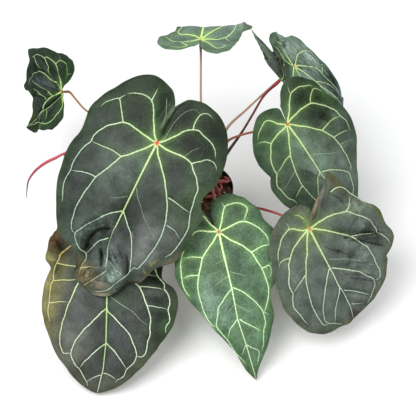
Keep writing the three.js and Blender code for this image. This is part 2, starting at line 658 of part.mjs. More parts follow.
// Substrate: fills the pot, with a lumpy top and a blind hole for the foot of the crown.
function substrateGeometry() {
  const sectors = 30;
  const floor = POT_WALL + GAP;
  const rough = (angle, ring) => {
    const wave = Math.sin(5 * angle + ring * 2.1) + Math.sin(8 * angle - ring * 3.3);
    return SOIL_ROUGHNESS * wave;
  };
  const rings = [
    { radius: () => wallRadius(floor) - 1.5 * GAP, height: () => floor },
    { radius: () => wallRadius(SOIL_TOP - 4) - 1.5 * GAP, height: () => SOIL_TOP - 4 },
    { radius: () => 51, height: (angle) => SOIL_TOP - 1 + rough(angle, 1) },
    { radius: () => 42, height: (angle) => SOIL_TOP + rough(angle, 2) },
    { radius: () => 32, height: (angle) => SOIL_TOP + 1 + rough(angle, 3) },
    { radius: () => 23, height: (angle) => SOIL_TOP + 1.5 + rough(angle, 4) },
  ];
  const positions = [];
  const index = [];
  rings.forEach((ring, i) => {
    const shift = Math.max(i - 1, 0) / (rings.length - 1);
    for (let j = 0; j < sectors; j += 1) {
      const angle = (2 * Math.PI * j) / sectors;
      const radius = ring.radius(angle);
      positions.push(
        CROWN_AXIS[0] * shift * 0.8 + radius * Math.cos(angle),
        CROWN_AXIS[1] * shift * 0.8 + radius * Math.sin(angle),
        ring.height(angle),
      );
    }
  });
  for (const height of [SOIL_TOP + 1, CROWN_FOOT - GAP]) {
    for (let j = 0; j < sectors; j += 1) {
      const angle = (2 * Math.PI * j) / sectors;
      positions.push(
        CROWN_AXIS[0] + CROWN_HOLE_RADIUS * Math.cos(angle),
        CROWN_AXIS[1] + CROWN_HOLE_RADIUS * Math.sin(angle),
        height,
      );
    }
  }
  const count = rings.length + 2;
  for (let i = 0; i < count - 1; i += 1) {
    for (let j = 0; j < sectors; j += 1) {
      const a = i * sectors + j;
      const b = i * sectors + ((j + 1) % sectors);
      index.push(a, b, b + sectors, a, b + sectors, a + sectors);
    }
  }
  const under = positions.length / 3;
  positions.push(0, 0, floor, CROWN_AXIS[0], CROWN_AXIS[1], CROWN_FOOT - GAP);
  const last = (count - 1) * sectors;
  for (let j = 0; j < sectors; j += 1) {
    const next = (j + 1) % sectors;
    index.push(under, next, j, under + 1, last + j, last + next);
  }
  const geometry = new THREE.BufferGeometry();
  geometry.setAttribute('position', new THREE.Float32BufferAttribute(positions, 3));
  geometry.setIndex(index);
  return geometry;
}

// Crown: short thick stem, a little ringed by old leaf scars.
function crownGeometry() {
  const heights = [CROWN_FOOT, 93, 100, 108, 117, 126, 134, 142];
  const radii = [12.5, 13.2, 12.4, 11.6, 10.6, 10, 8.6, 5.5];
  return limbGeometry(heights.map((z) => [...crownAxisAt(z), z]), radii, 14, 12);
}

// Route of a stalk: up the side of the crown, along its way, and square onto the underside of its blade.
function stalkRoute(base, way, foot, blade) {
  const angle = degrees(base);
  const beside = (height, room) => {
    const [x, y] = crownAxisAt(height);
    return [x + room * Math.cos(angle), y + room * Math.sin(angle), height];
  };
  const start = [beside(112, STALK_CLEAR_LOW + foot), beside(126, STALK_CLEAR_HIGH + foot)];
  if (!blade) return [...start, ...way];
  const { out } = bladeAxes(blade.frame);
  const under = (distance) => new THREE.Vector3(...blade.at).addScaledVector(out, -distance).toArray();
  return [...start, ...way, under(16), under(7), under(BLADE_THICKNESS / 2 + SEAT_UNDER_BLADE)];
}

// Dry sheath: a narrow strip that leaves the crown outwards and curls up between two stalks.
function sheathGeometry({ bearing, length, half }) {
  const angle = degrees(bearing);
  const foot = 103;
  const [x, y] = crownAxisAt(foot);
  return bladeGeometry({
    at: [x + SHEATH_START * Math.cos(angle), y + SHEATH_START * Math.sin(angle), foot],
    frame: [bearing + 180, 62, 180],
    midrib: [[0, 0], [length, 0]],
    left: [[0, -half * 0.8], [length * 0.4, -half], [length * 0.8, -half * 0.8], [length, 0]],
    right: [[0, half * 0.8], [length * 0.4, half], [length * 0.8, half * 0.8], [length, 0]],
    spine: [[0, 0], [6, 10], [14, 48], [length, 50]],
    leftBend: [[0, -8]],
    rightBend: [[0, -8]],
    bumps: [],
    folds: [],
    rows: [2, 6],
  });
}

// Root: leaves the crown and comes down onto the substrate.
function rootGeometry({ bearing, start, way, radius }) {
  const angle = degrees(bearing);
  const [x, y] = crownAxisAt(start);
  const beside = (room, height) => [x + room * Math.cos(angle), y + room * Math.sin(angle), height];
  const points = [beside(ROOT_START, start), ...way.map(([room, height]) => beside(room, height))];
  return limbGeometry(points, [radius, radius, radius * 0.8, radius * 0.35], 8, 8);
}

function part(name, geometry, colour, roughness = 0.7) {
  const flat = geometry.index ? geometry.toNonIndexed() : geometry;
  const clean = new THREE.BufferGeometry();
  clean.setAttribute('position', flat.getAttribute('position'));
  const merged = mergeVertices(clean, 1e-3);
  merged.computeVertexNormals();
  const mesh = new THREE.Mesh(merged, new THREE.MeshStandardMaterial({ color: colour, roughness }));
  mesh.name = name;
  return mesh;
}

const plant = new THREE.Group();
plant.name = 'potted_anthurium_hybrid';
plant.add(part('pot', potGeometry(), 0x1c1c1e, 0.45));
plant.add(part('substrate', substrateGeometry(), 0x3a2a20, 0.95));
plant.add(part('crown', crownGeometry(), 0x5f5a3a, 0.8));
for (const [name, blade] of Object.entries(BLADES)) {
  plant.add(part(name, bladeGeometry(blade), blade.colour, 0.6));
}
for (const [name, stalk] of Object.entries(STALKS)) {
  const route = stalkRoute(stalk.base, stalk.way, stalk.foot, BLADES[stalk.blade]);
  const mid = (stalk.foot + stalk.top) / 2;
  const radii = [stalk.foot, stalk.foot * 0.95, mid, stalk.top, stalk.top, stalk.top, stalk.top * 1.2];
  plant.add(part(name, limbGeometry(route, radii, 18, 8), stalk.colour));
}
const flowerRoute = stalkRoute(PEDUNCLE_BASE, PEDUNCLE_WAY, PEDUNCLE_RADII[0]);
plant.add(part('peduncle', limbGeometry(flowerRoute, PEDUNCLE_RADII, 18, 8), 0xb0605a));
plant.add(part('spadix', limbGeometry(SPADIX_WAY, SPADIX_RADII, 16, 10), 0xa03a40));

plant.add(part('spathe', bladeGeometry(SPATHE), SPATHE.colour));
for (const [name, sheath] of Object.entries(SHEATHS)) {
  plant.add(part(name, sheathGeometry(sheath), 0xb07a4a, 0.9));
}
for (const [name, root] of Object.entries(ROOTS)) {
  plant.add(part(name, rootGeometry(root), 0xb0605a));
}

export default plant;
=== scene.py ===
"""Looks of the potted anthurium hybrid: velvet leaves, stalks, flower spike, crown, pot and substrate.

Sizes are in millimetres until a mesh is made. Blender's objects are in metres, in the frame's own axes.
"""

import logging
import math
import re
from dataclasses import dataclass, field
from enum import Enum

import bmesh
import bpy
import numpy as np
from bpy.types import ID, Material, Mesh, Node, NodeSocket, NodeTree, Object
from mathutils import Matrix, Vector, geometry, kdtree


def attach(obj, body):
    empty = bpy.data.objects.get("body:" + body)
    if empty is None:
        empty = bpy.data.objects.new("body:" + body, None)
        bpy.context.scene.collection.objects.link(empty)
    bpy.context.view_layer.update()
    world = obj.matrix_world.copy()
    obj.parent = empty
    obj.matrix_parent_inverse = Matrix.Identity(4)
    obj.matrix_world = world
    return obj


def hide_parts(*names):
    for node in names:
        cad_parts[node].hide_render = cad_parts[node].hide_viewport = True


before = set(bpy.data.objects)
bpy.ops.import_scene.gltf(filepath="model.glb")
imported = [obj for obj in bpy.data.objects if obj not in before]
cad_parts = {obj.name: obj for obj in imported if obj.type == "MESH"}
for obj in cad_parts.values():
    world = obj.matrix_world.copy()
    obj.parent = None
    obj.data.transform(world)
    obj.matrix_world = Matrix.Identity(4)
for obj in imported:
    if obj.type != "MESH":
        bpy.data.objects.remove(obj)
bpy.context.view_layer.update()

LOG = logging.getLogger("anthurium")
MM = 0.001
BODY = "root"
Pairs = tuple[tuple[float, ...], ...]
Triple = tuple[float, float, float]


def linear(hex_colour: str) -> tuple[float, float, float, float]:
    """Turns an sRGB hex colour into linear red, green, blue and an alpha of one."""
    channels = [int(hex_colour[i : i + 2], 16) / 255 for i in (1, 3, 5)]
    return (*[c / 12.92 if c <= 0.04045 else ((c + 0.055) / 1.055) ** 2.4 for c in channels], 1.0)


def rgb(hex_colour: str) -> np.ndarray:
    """Gives the linear red, green and blue of an sRGB hex colour as an array."""
    return np.array(linear(hex_colour)[:3])


def add_node(tree: NodeTree, kind: str, inputs: dict | None = None, **settings) -> Node:
    """Adds one node with its settings, and fills its inputs with values or links.

    Args:
        tree: Node tree that gets the node.
        kind: Blender's identifier of the node type.
        inputs: Values, or output sockets to link, by input name or number.
        **settings: Properties of the node itself.

    Returns:
        The new node.
    """
    made = tree.nodes.new(kind)
    for name, value in settings.items():
        setattr(made, name, value)
    for key, value in (inputs or {}).items():
        if isinstance(value, NodeSocket):
            tree.links.new(value, made.inputs[key])
        else:
            made.inputs[key].default_value = value
    return made


@dataclass(frozen=True)
class Finish:
    """What all finishes share: a name and the values of the shader's own sockets."""

    name: str
    roughness: float = 0.5
    ior: float = 1.45
    specular: float = 0.5
    coat: float = 0.0

    def make(self) -> Material:
        """Builds the material, or returns the one already built under this name.

        Returns:
            The material.
        """
        if self.name in bpy.data.materials:
            return bpy.data.materials[self.name]
        material = bpy.data.materials.new(self.name)
        material.use_nodes = True
        tree = material.node_tree
        shader = tree.nodes["Principled BSDF"]
        for socket, value in (
            ("Roughness", self.roughness), ("IOR", self.ior), ("Specular IOR Level", self.specular),
            ("Coat Weight", self.coat),
        ):
            shader.inputs[socket].default_value = value
        colour, height, distance = self.pattern(tree)
        tree.links.new(colour, shader.inputs["Base Color"])
        bump = add_node(tree, "ShaderNodeBump", {"Height": height, "Distance": distance * MM})
        tree.links.new(bump.outputs["Normal"], shader.inputs["Normal"])
        return material

    def pattern(self, tree: NodeTree) -> tuple:
        """Gives the colour socket, the height socket and the relief in millimetres."""
        raise NotImplementedError


def shaded(tree: NodeTree, colour: NodeSocket, factor: NodeSocket, low: float, high: float,
           start: float = 0.0, stop: float = 1.0) -> NodeSocket:
    """Multiplies a colour by a factor that runs from low to high.

    Args:
        tree: Node tree of the material.
        colour: Colour to darken or lighten.
        factor: Pattern from 0 to 1.
        low: Multiplier where the pattern is at its start.
        high: Multiplier where the pattern is at its stop.
        start: Lowest value of the pattern.
        stop: Highest value of the pattern.

    Returns:
        The socket of the shaded colour.
    """
    span = add_node(tree, "ShaderNodeMapRange",
                    {"Value": factor, "From Min": start, "From Max": stop, "To Min": low, "To Max": high})
    scaled = add_node(tree, "ShaderNodeVectorMath", {0: colour, "Scale": span.outputs[0]}, operation="SCALE")
    return scaled.outputs[0]


@dataclass(frozen=True)
class LeafFinish(Finish):
    """Skin of a leaf: its painted tint, clouded, with a fine net of veinlets.

    `net` is how far the veinlets lighten the skin and `cloud` how far its tone drifts. The papillae
    (`grain`), clouds, mottling, veinlet net and folds have sizes in millimetres. Where the piece is marked
    as crumpled, the skin is folded and cracked. The light and shade of its folds and the shade in its
    cracks are painted into its colour.
    """

    net: float = 0.2
    cloud: float = 0.3
    grain: float = 1.4
    relief: float = 0.05
    cloud_size: float = 26.0
    mottle_size: float = 3.2
    net_size: float = 8.5
    fold_size: float = 11.0

    def pattern(self, tree: NodeTree) -> tuple:
        """Clouds the tint, lightens the veinlets, raises the papillae and the folds, and paints light and
        shade on the folds and shade in the cracks.

        Args:
            tree: The material's node tree.

        Returns:
            The colour, what raises the surface, and the strength of that relief.
        """
        flat = add_node(tree, "ShaderNodeAttribute", attribute_name="flat").outputs["Vector"]
        tint = add_node(tree, "ShaderNodeAttribute", attribute_name="tint").outputs["Color"]
        clouds = add_node(tree, "ShaderNodeTexNoise",
                          {"Vector": flat, "Scale": 1 / self.cloud_size, "Detail": 3.0})
        mottle = add_node(tree, "ShaderNodeTexNoise",
                          {"Vector": flat, "Scale": 1 / self.mottle_size, "Detail": 3.0})
        bent = add_node(tree, "ShaderNodeVectorMath", {0: mottle.outputs["Color"], "Scale": 3.0},
                        operation="SCALE")
        where = add_node(tree, "ShaderNodeVectorMath", {0: flat, 1: bent.outputs[0]}, operation="ADD")
        cells = add_node(tree, "ShaderNodeTexVoronoi",
                         {"Vector": where.outputs[0], "Scale": 1 / self.net_size},
                         feature="DISTANCE_TO_EDGE")
        veinlet = add_node(tree, "ShaderNodeMapRange",
                           {"Value": cells.outputs["Distance"], "From Max": 0.09,
                            "To Min": 1.0, "To Max": 0.0})
        skin = shaded(tree, tint, clouds.outputs[0], 1.0 - self.cloud, 1.0 + self.cloud, 0.33, 0.67)
        drift = 0.6 * self.cloud
        skin = shaded(tree, skin, mottle.outputs[0], 1.0 - drift, 1.0 + drift, 0.3, 0.7)
        skin = shaded(tree, skin, veinlet.outputs[0], 1.0, 1.0 + self.net)
        papillae = add_node(tree, "ShaderNodeTexNoise",
                            {"Vector": flat, "Scale": 1 / self.grain, "Detail": 2.0})
        height = add_node(tree, "ShaderNodeMath", {0: veinlet.outputs[0], 1: -1.5, 2: papillae.outputs[0]},
                          operation="MULTIPLY_ADD")
        crumple = add_node(tree, "ShaderNodeAttribute", attribute_name="crumple").outputs["Fac"]
        folds = add_node(tree, "ShaderNodeTexNoise",
                         {"Vector": flat, "Scale": 1 / self.fold_size, "Detail": 2.0, "Distortion": 1.2})
        middle = add_node(tree, "ShaderNodeMath", {0: folds.outputs[0], 1: 0.5}, operation="SUBTRACT")
        fold_height_and_shade = add_node(tree, "ShaderNodeMath", {0: middle.outputs[0], 1: crumple}, operation="MULTIPLY")
        off = add_node(tree, "ShaderNodeMath", {0: middle.outputs[0]}, operation="ABSOLUTE")
        crack_shade = add_node(tree, "ShaderNodeMapRange",
                         {"Value": off.outputs[0], "From Max": 0.035, "To Min": 1.0, "To Max": 0.0})
        crack_shade = add_node(tree, "ShaderNodeMath", {0: crack_shade.outputs[0], 1: crumple}, operation="MULTIPLY")
        # Painted light and shade: the fold noise lightens and darkens the crumpled skin, and the cracks
        # darken it as painted shade. The same fold noise also raises the surface below.
        skin = shaded(tree, skin, fold_height_and_shade.outputs[0], 0.45, 1.55, -0.2, 0.2)
        skin = shaded(tree, skin, crack_shade.outputs[0], 1.0, 0.4)
        height = add_node(tree, "ShaderNodeMath", {0: fold_height_and_shade.outputs[0], 1: 24.0, 2: height.outputs[0]},
                          operation="MULTIPLY_ADD")
        return skin, height.outputs[0], self.relief


@dataclass(frozen=True)
class StreakFinish(Finish):
    """Skin of a stalk, root or dry sheath: streaks that run along it and pale flecks.

    `streak` and `width` are a streak's length and width and `spot` the distance of the pale flecks, in
    millimetres. `fleck` is how far the flecks lighten the skin.
    """

    streak: float = 14.0
    width: float = 0.9
    contrast: float = 0.22
    fleck: float = 0.25
    spot: float = 2.6
    relief: float = 0.08

    def pattern(self, tree: NodeTree) -> tuple:
        """Streaks the tint along the piece and raises the streaks.

        Args:
            tree: The material's node tree.

        Returns:
            The colour, what raises the surface, and the strength of that relief.
        """
        flat = add_node(tree, "ShaderNodeAttribute", attribute_name="flat").outputs["Vector"]
        tint = add_node(tree, "ShaderNodeAttribute", attribute_name="tint").outputs["Color"]
        long = add_node(tree, "ShaderNodeVectorMath", {0: flat, 1: (1 / self.streak, 1 / self.width, 1.0)},
                        operation="MULTIPLY")
        streaks = add_node(tree, "ShaderNodeTexNoise",
                           {"Vector": long.outputs[0], "Scale": 1.0, "Detail": 3.0})
        spots = add_node(tree, "ShaderNodeTexVoronoi", {"Vector": flat, "Scale": 1 / self.spot})
        fleck = add_node(tree, "ShaderNodeMapRange",
                         {"Value": spots.outputs["Distance"], "From Min": 0.1, "From Max": 0.3,
                          "To Min": 1.0, "To Max": 0.0})
        skin = shaded(tree, tint, streaks.outputs[0], 1.0 - self.contrast, 1.0 + self.contrast)
        skin = shaded(tree, skin, fleck.outputs[0], 1.0, 1.0 + self.fleck)
        return skin, streaks.outputs[0], self.relief


@dataclass(frozen=True)
class LumpFinish(Finish):
    """Rough matter of one colour range: bark, perlite, moss, or moulded plastic.

    `lump` and `grit` are the sizes of its coarse and fine pattern in millimetres, `dark` and `light` its
    colours.
    """

    dark: str = "#2a1d15"
    light: str = "#6b4a33"
    lump: float = 7.0
    grit: float = 1.2
    relief: float = 0.3
    shade: float = 0.35

    def pattern(self, tree: NodeTree) -> tuple:
        """Gives each lump its own tone, with a fine grit over it.

        Args:
            tree: The material's node tree.

        Returns:
            The colour, what raises the surface, and the strength of that relief.
        """
        place = add_node(tree, "ShaderNodeTexCoord").outputs["Object"]
        lumps = add_node(tree, "ShaderNodeTexVoronoi", {"Vector": place, "Scale": 1 / (self.lump * MM)})
        grit = add_node(tree, "ShaderNodeTexNoise",
                        {"Vector": place, "Scale": 1 / (self.grit * MM), "Detail": 4.0})
        tone = add_node(tree, "ShaderNodeSeparateColor", {0: lumps.outputs["Color"]}).outputs[0]
        mix = add_node(tree, "ShaderNodeMix", {0: tone, 6: linear(self.dark), 7: linear(self.light)},
                       data_type="RGBA")
        colour = shaded(tree, mix.outputs[2], grit.outputs[0], 1 - self.shade, 1 + self.shade)
        return colour, grit.outputs[0], self.relief


class Finishes(Enum):
    """Every finish of the plant and its pot."""

    # Velvet skin of the dark leaves: charcoal green, matt, with a soft pale sheen from fine papillae.
    DARK_VELVET = LeafFinish("dark velvet leaf skin", 0.36, specular=0.1, net=0.16)
    # The same skin on crumpled, folded and steeply hanging blades, seen along its nap: fully matt.
    FOLDED_VELVET = LeafFinish("folded velvet leaf skin", 0.7, specular=0.0, net=0.1)
    # Younger, greener velvet skin, with a clearer net of pale veinlets.
    GREEN_VELVET = LeafFinish("green velvet leaf skin", 0.4, specular=0.12, net=0.42)
    # Ageing leaf: olive and yellowed on one side, drier and less velvety.
    OLIVE_LEAF = LeafFinish("ageing olive leaf skin", 0.42, specular=0.1, net=0.16)
    # Underside of every leaf: paler, smooth and faintly waxy.
    UNDERSIDE = LeafFinish("waxy leaf underside", 0.42, specular=0.35, net=0.3, relief=0.08)
    # Fleshy vein: pale, smooth and slightly glossy.
    VEIN = LeafFinish("fleshy pale vein", 0.42, specular=0.3, net=0.0, grain=0.8, relief=0.02, cloud=0.08)
    # Leaf stalk: firm green flesh under a red or tan skin, satin, streaked lengthwise.
    STALK = StreakFinish("satin leaf stalk skin", 0.38, specular=0.5, coat=0.08)
    # Flower spike: fleshy and satin, with a fine even grain.
    SPIKE = StreakFinish("fleshy flower spike", 0.42, specular=0.5, streak=3.0, width=1.5, contrast=0.14)
    # Dry papery sheath: thin, fibrous, tan to brown, matt.
    PAPER = StreakFinish("dry papery sheath", 0.78, specular=0.25, streak=22.0, width=0.7, contrast=0.4,
                         relief=0.25)
    # Root skin: pinkish, felted, matt.
    ROOT = StreakFinish("felted root skin", 0.7, specular=0.3, streak=5.0, width=1.2, contrast=0.25,
                        relief=0.15)
    # Crown: old stem, woody green-brown with tan scars.
    CROWN = StreakFinish("scarred woody crown", 0.75, specular=0.3, streak=5.0, width=2.2, contrast=0.38,
                         relief=0.5)
    # Polypropylene pot: injection moulded, black, satin, with a little dust in the grain.
    POT = LumpFinish("black moulded polypropylene", 0.42, specular=0.5, dark="#17181a", light="#232427",
                     lump=26.0, grit=1.6, relief=0.05)
    # Orchid bark: dry split chips, dark brown to tan, rough.
    BARK = LumpFinish("dry orchid bark", 0.85, specular=0.25, dark="#33211a", light="#8c5c44", lump=6.0,
                      grit=1.3)
    # Fine dark compost between the chips.
    COMPOST = LumpFinish("dark fine compost", 0.92, specular=0.2, dark="#241914", light="#4c3427",
                         lump=3.0, grit=0.9, relief=0.6)
    # Perlite: white expanded glass, matt and pitted.
    PERLITE = LumpFinish("white perlite", 0.9, specular=0.25, dark="#cfc9ba", light="#f2efe6", lump=3.0,
                         grit=0.7, relief=0.25)
    # Dried sphagnum: pale tan strands.
    MOSS = LumpFinish("dried tan moss", 0.9, specular=0.2, dark="#7d6a45", light="#b8a36d", lump=4.0,
                      grit=0.8)
    # Studio floor: plain pale card.
    FLOOR = LumpFinish("pale studio floor", 0.9, specular=0.2, dark="#f3f3f3", light="#f5f5f5", lump=2.0,
                       grit=1.0, relief=0.0, shade=0.02)


# Mesh kit


@dataclass
class Solid:
    """Points and faces of a piece while it is made, in millimetres."""

    points: list[np.ndarray] = field(default_factory=list)
    flat: list[np.ndarray] = field(default_factory=list)
    tints: list[np.ndarray] = field(default_factory=list)
    crumple: list[np.ndarray] = field(default_factory=list)
    faces: list[tuple[int, ...]] = field(default_factory=list)
    slots: list[int] = field(default_factory=list)
    count: int = 0

    def add(self, points: np.ndarray, flat: np.ndarray, tints: np.ndarray, faces, slot: int = 0,
            crumple: np.ndarray | None = None) -> None:
        """Adds a closed shell.

        Args:
            points: Places, one row a point.
            flat: Surface coordinates in millimetres, two a point.
            tints: Linear colours, one row a point.
            faces: Faces as point numbers of this shell, or pairs of such a face and its finish number.
            slot: Finish number of the faces that name none.
            crumple: How crumpled each point is, from 0 to 1.
        """
        self.crumple.append(np.zeros(len(points)) if crumple is None else crumple)
        for face in faces:
            corners, number = face if isinstance(face[0], tuple) else (face, slot)
            self.faces.append(tuple(int(corner) + self.count for corner in corners))
            self.slots.append(number)
        self.points.append(points)
        self.flat.append(flat)
        self.tints.append(tints)
        self.count += len(points)

    def build(self, name: str, *finishes: Finishes) -> Object:
        """Makes the Blender object, with its faces turned outwards.

        Args:
            name: Name of the piece.
            *finishes: Finishes in the order of the face numbers.

        Returns:
            The object, at the origin, in metres.
        """
        points = np.concatenate(self.points)
        mesh = bpy.data.meshes.new(name)
        mesh.from_pydata((points * MM).tolist(), [], self.faces)
        flat, tints, crumple = (np.concatenate(part) for part in (self.flat, self.tints, self.crumple))
        ones = np.ones((len(flat), 1))
        for label, form, key, values in (
            ("flat", "FLOAT_VECTOR", "vector", np.hstack([flat, 0 * ones])),
            ("tint", "FLOAT_COLOR", "color", np.hstack([tints, ones])),
            ("crumple", "FLOAT", "value", crumple),
        ):
            mesh.attributes.new(label, form, "POINT").data.foreach_set(key, values.ravel())
        mesh.polygons.foreach_set("material_index", self.slots)
        for finish in finishes:
            mesh.materials.append(finish.value.make())
        turn_outwards(mesh)
        mesh.polygons.foreach_set("use_smooth", [True] * len(mesh.polygons))
        return linked(name, mesh)


def linked(name: str, data: ID) -> Object:
    """Makes an object of some data and links it to the scene.

    Args:
        name: Name of the object.
        data: Its mesh, camera or lamp.

    Returns:
        The new object.
    """
    made = bpy.data.objects.new(name, data)
    bpy.context.scene.collection.objects.link(made)
    return made


def turn_outwards(mesh: Mesh) -> None:
    """Turns every face of a closed mesh outwards and logs any open edge.

    Args:
        mesh: The mesh, changed in place.
    """
    made = bmesh.new()
    made.from_mesh(mesh)
    bmesh.ops.recalc_face_normals(made, faces=made.faces)
    loose = sum(1 for edge in made.edges if len(edge.link_faces) != 2)
    made.to_mesh(mesh)
    made.free()
    if loose:
        LOG.warning("%s has %d open edges", mesh.name, loose)


def settle(piece: Object, slot: str, *nodes: str) -> Object:
    """Rides a piece on the plant's body and hides what it stands for.

    Args:
        piece: The finished piece.
        slot: Material slot; not used.
        *nodes: CAD nodes that the piece replaces.

    Returns:
        The same piece.
    """
    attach(piece, BODY)
    if nodes:
        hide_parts(*nodes)
    LOG.info("%s: %d faces", piece.name, len(piece.data.polygons))
    return piece


def catmull(points: np.ndarray, spacing: float) -> np.ndarray:
    """Runs a centripetal Catmull-Rom curve through points.

    Args:
        points: Points to pass, one row each, in two or three dimensions.
        spacing: Distance between the points of the result, in millimetres.

    Returns:
        Points along the curve, both ends included.
    """
    ends = np.vstack([2 * points[0] - points[1], points, 2 * points[-1] - points[-2]])
    dense = []
    for i in range(1, len(ends) - 2):
        p0, p1, p2, p3 = ends[i - 1 : i + 3]
        d0, d1, d2 = (max(np.linalg.norm(b - a), 1e-4) ** 0.5 for a, b in ((p0, p1), (p1, p2), (p2, p3)))
        t1 = ((p1 - p0) / d0 - (p2 - p0) / (d0 + d1) + (p2 - p1) / d1) * d1
        t2 = ((p2 - p1) / d1 - (p3 - p1) / (d1 + d2) + (p3 - p2) / d2) * d1
        t = np.linspace(0, 1, 25)[:, None]
        cubic, square = 2 * p1 - 2 * p2 + t1 + t2, -3 * p1 + 3 * p2 - 2 * t1 - t2
        dense.append(cubic * t**3 + square * t**2 + t1 * t + p1)
    return evenly(np.vstack(dense), spacing)


def evenly(line: np.ndarray, spacing: float) -> np.ndarray:
    """Resamples a polyline at even steps of about the spacing.

    Args:
        line: Its points, one row each.
        spacing: The step in millimetres.

    Returns:
        The new points, both ends kept.
    """
    steps = np.linalg.norm(np.diff(line, axis=0), axis=1)
    keep = np.concatenate([[True], steps > 1e-6])
    line = line[keep]
    run = np.concatenate([[0], np.cumsum(steps[steps > 1e-6])])
    stations = np.linspace(0, run[-1], max(int(round(run[-1] / spacing)), 2) + 1)
    return np.column_stack([np.interp(stations, run, line[:, k]) for k in range(line.shape[1])])


class Near:
    """Distances of flat points to some polylines, through a tree of the middles of their segments."""

    FEW = 5

    def __init__(self, lines: list[np.ndarray]) -> None:
        """Stores the segments of the polylines.

        Args:
            lines: Polylines, one row a point.
        """
        self.starts = np.vstack([line[:-1] for line in lines])
        self.spans = np.vstack([np.diff(line, axis=0) for line in lines])
        self.tree = kdtree.KDTree(len(self.starts))
        for i, middle in enumerate(self.starts + self.spans / 2):
            self.tree.insert((*middle, 0.0), i)
        self.tree.balance()

    def __call__(self, points: np.ndarray) -> np.ndarray:
        """Gives each point's distance to the nearest polyline.

        Args:
            points: Flat points, one row each.

        Returns:
            A distance for each, in millimetres.
        """
        few = min(self.FEW, len(self.starts))
        near = np.array([[hit[1] for hit in self.tree.find_n((x, y, 0.0), few)] for x, y in points.tolist()])
        away, span = points[:, None, :] - self.starts[near], self.spans[near]
        t = np.clip((away * span).sum(2) / np.maximum((span**2).sum(2), 1e-9), 0, 1)
        return np.linalg.norm(away - t[..., None] * span, axis=2).min(1)


def inside(points: np.ndarray, outline: np.ndarray) -> np.ndarray:
    """Tells which flat points lie within a closed outline.

    Args:
        points: Flat points, one row each.
        outline: The closed outline.

    Returns:
        A truth value for each point.
    """
    result = np.zeros(len(points), bool)
    x, y = points[:, 0], points[:, 1]
    for a, b in zip(outline, np.roll(outline, -1, axis=0)):
        crosses = (a[1] > y) != (b[1] > y)
        if a[1] != b[1]:
            result ^= crosses & (x < (b[0] - a[0]) * (y - a[1]) / (b[1] - a[1]) + a[0])
    return result


def around(count: int) -> np.ndarray:
    """Gives evenly spaced angles of a full turn, in radians."""
    return np.arange(count) * 2 * math.pi / count


def along(values: tuple[float, ...], t: np.ndarray) -> np.ndarray:
    """Gives values spread evenly from 0 to 1 at the places t."""
    return np.interp(t, np.linspace(0, 1, len(values)), values)


def band(first: int, rings: int, sides: int) -> list[tuple[int, ...]]:
    """Gives the faces between rings of points.

    Args:
        first: Number of the first ring's first point.
        rings: Number of rings.
        sides: Points in each ring.

    Returns:
        The faces, four corners each.
    """
    faces = []
    for start in range(first, first + (rings - 1) * sides, sides):
        for j in range(sides):
            k = (j + 1) % sides
            faces.append((start + j, start + k, start + k + sides, start + j + sides))
    return faces


def triangulated(
    outline: np.ndarray, creases: list[np.ndarray], cell: float
) -> tuple[np.ndarray, np.ndarray]:
    """Fills an outline with even triangles whose edges follow some creases.

    Args:
        outline: Closed outline, one row a point.
        creases: Polylines that the triangles follow.
        cell: Edge length of the triangles, in millimetres.

    Returns:
        The flat points and the triangles, turned anticlockwise.
    """
    low, high = outline.min(0), outline.max(0)
    levels = np.arange(low[1], high[1], cell * 0.866)
    columns = np.arange(low[0], high[0], cell)
    grid = np.array([(x + cell / 2 * (k % 2), y) for k, y in enumerate(levels) for x in columns])
    ring = Near([np.vstack([outline, outline[:1]])])
    grid = grid[inside(grid, outline)]
    grid = grid[ring(grid) > cell * 0.6]
    edges: list[tuple[int, int]] = []
    points = [outline]
    count = len(outline)
    kept = []
    for crease in creases:
        free = inside(crease, outline) & (ring(crease) > cell * 0.5)
        for i in range(1, len(crease)):
            if free[i - 1] and free[i]:
                edges.append((count + i - 1, count + i))
        points.append(crease)
        kept.append(crease)
        count += len(crease)
    if kept:
        grid = grid[Near(kept)(grid) > cell * 0.5]
    points.append(grid)
    every = np.vstack(points)
    made = geometry.delaunay_2d_cdt([Vector(p) for p in every], edges, [list(range(len(outline)))], 1, 1e-4)
    flat = np.array([tuple(p) for p in made[0]])
    triangles = np.array([f for f in made[2] if len(f) == 3])
    a, b, c = (flat[triangles[:, k]] for k in range(3))
    area = (b[:, 0] - a[:, 0]) * (c[:, 1] - a[:, 1]) - (b[:, 1] - a[:, 1]) * (c[:, 0] - a[:, 0])
    triangles[area < 0] = triangles[area < 0][:, ::-1]
    return flat, triangles[np.abs(area) > 1e-6]


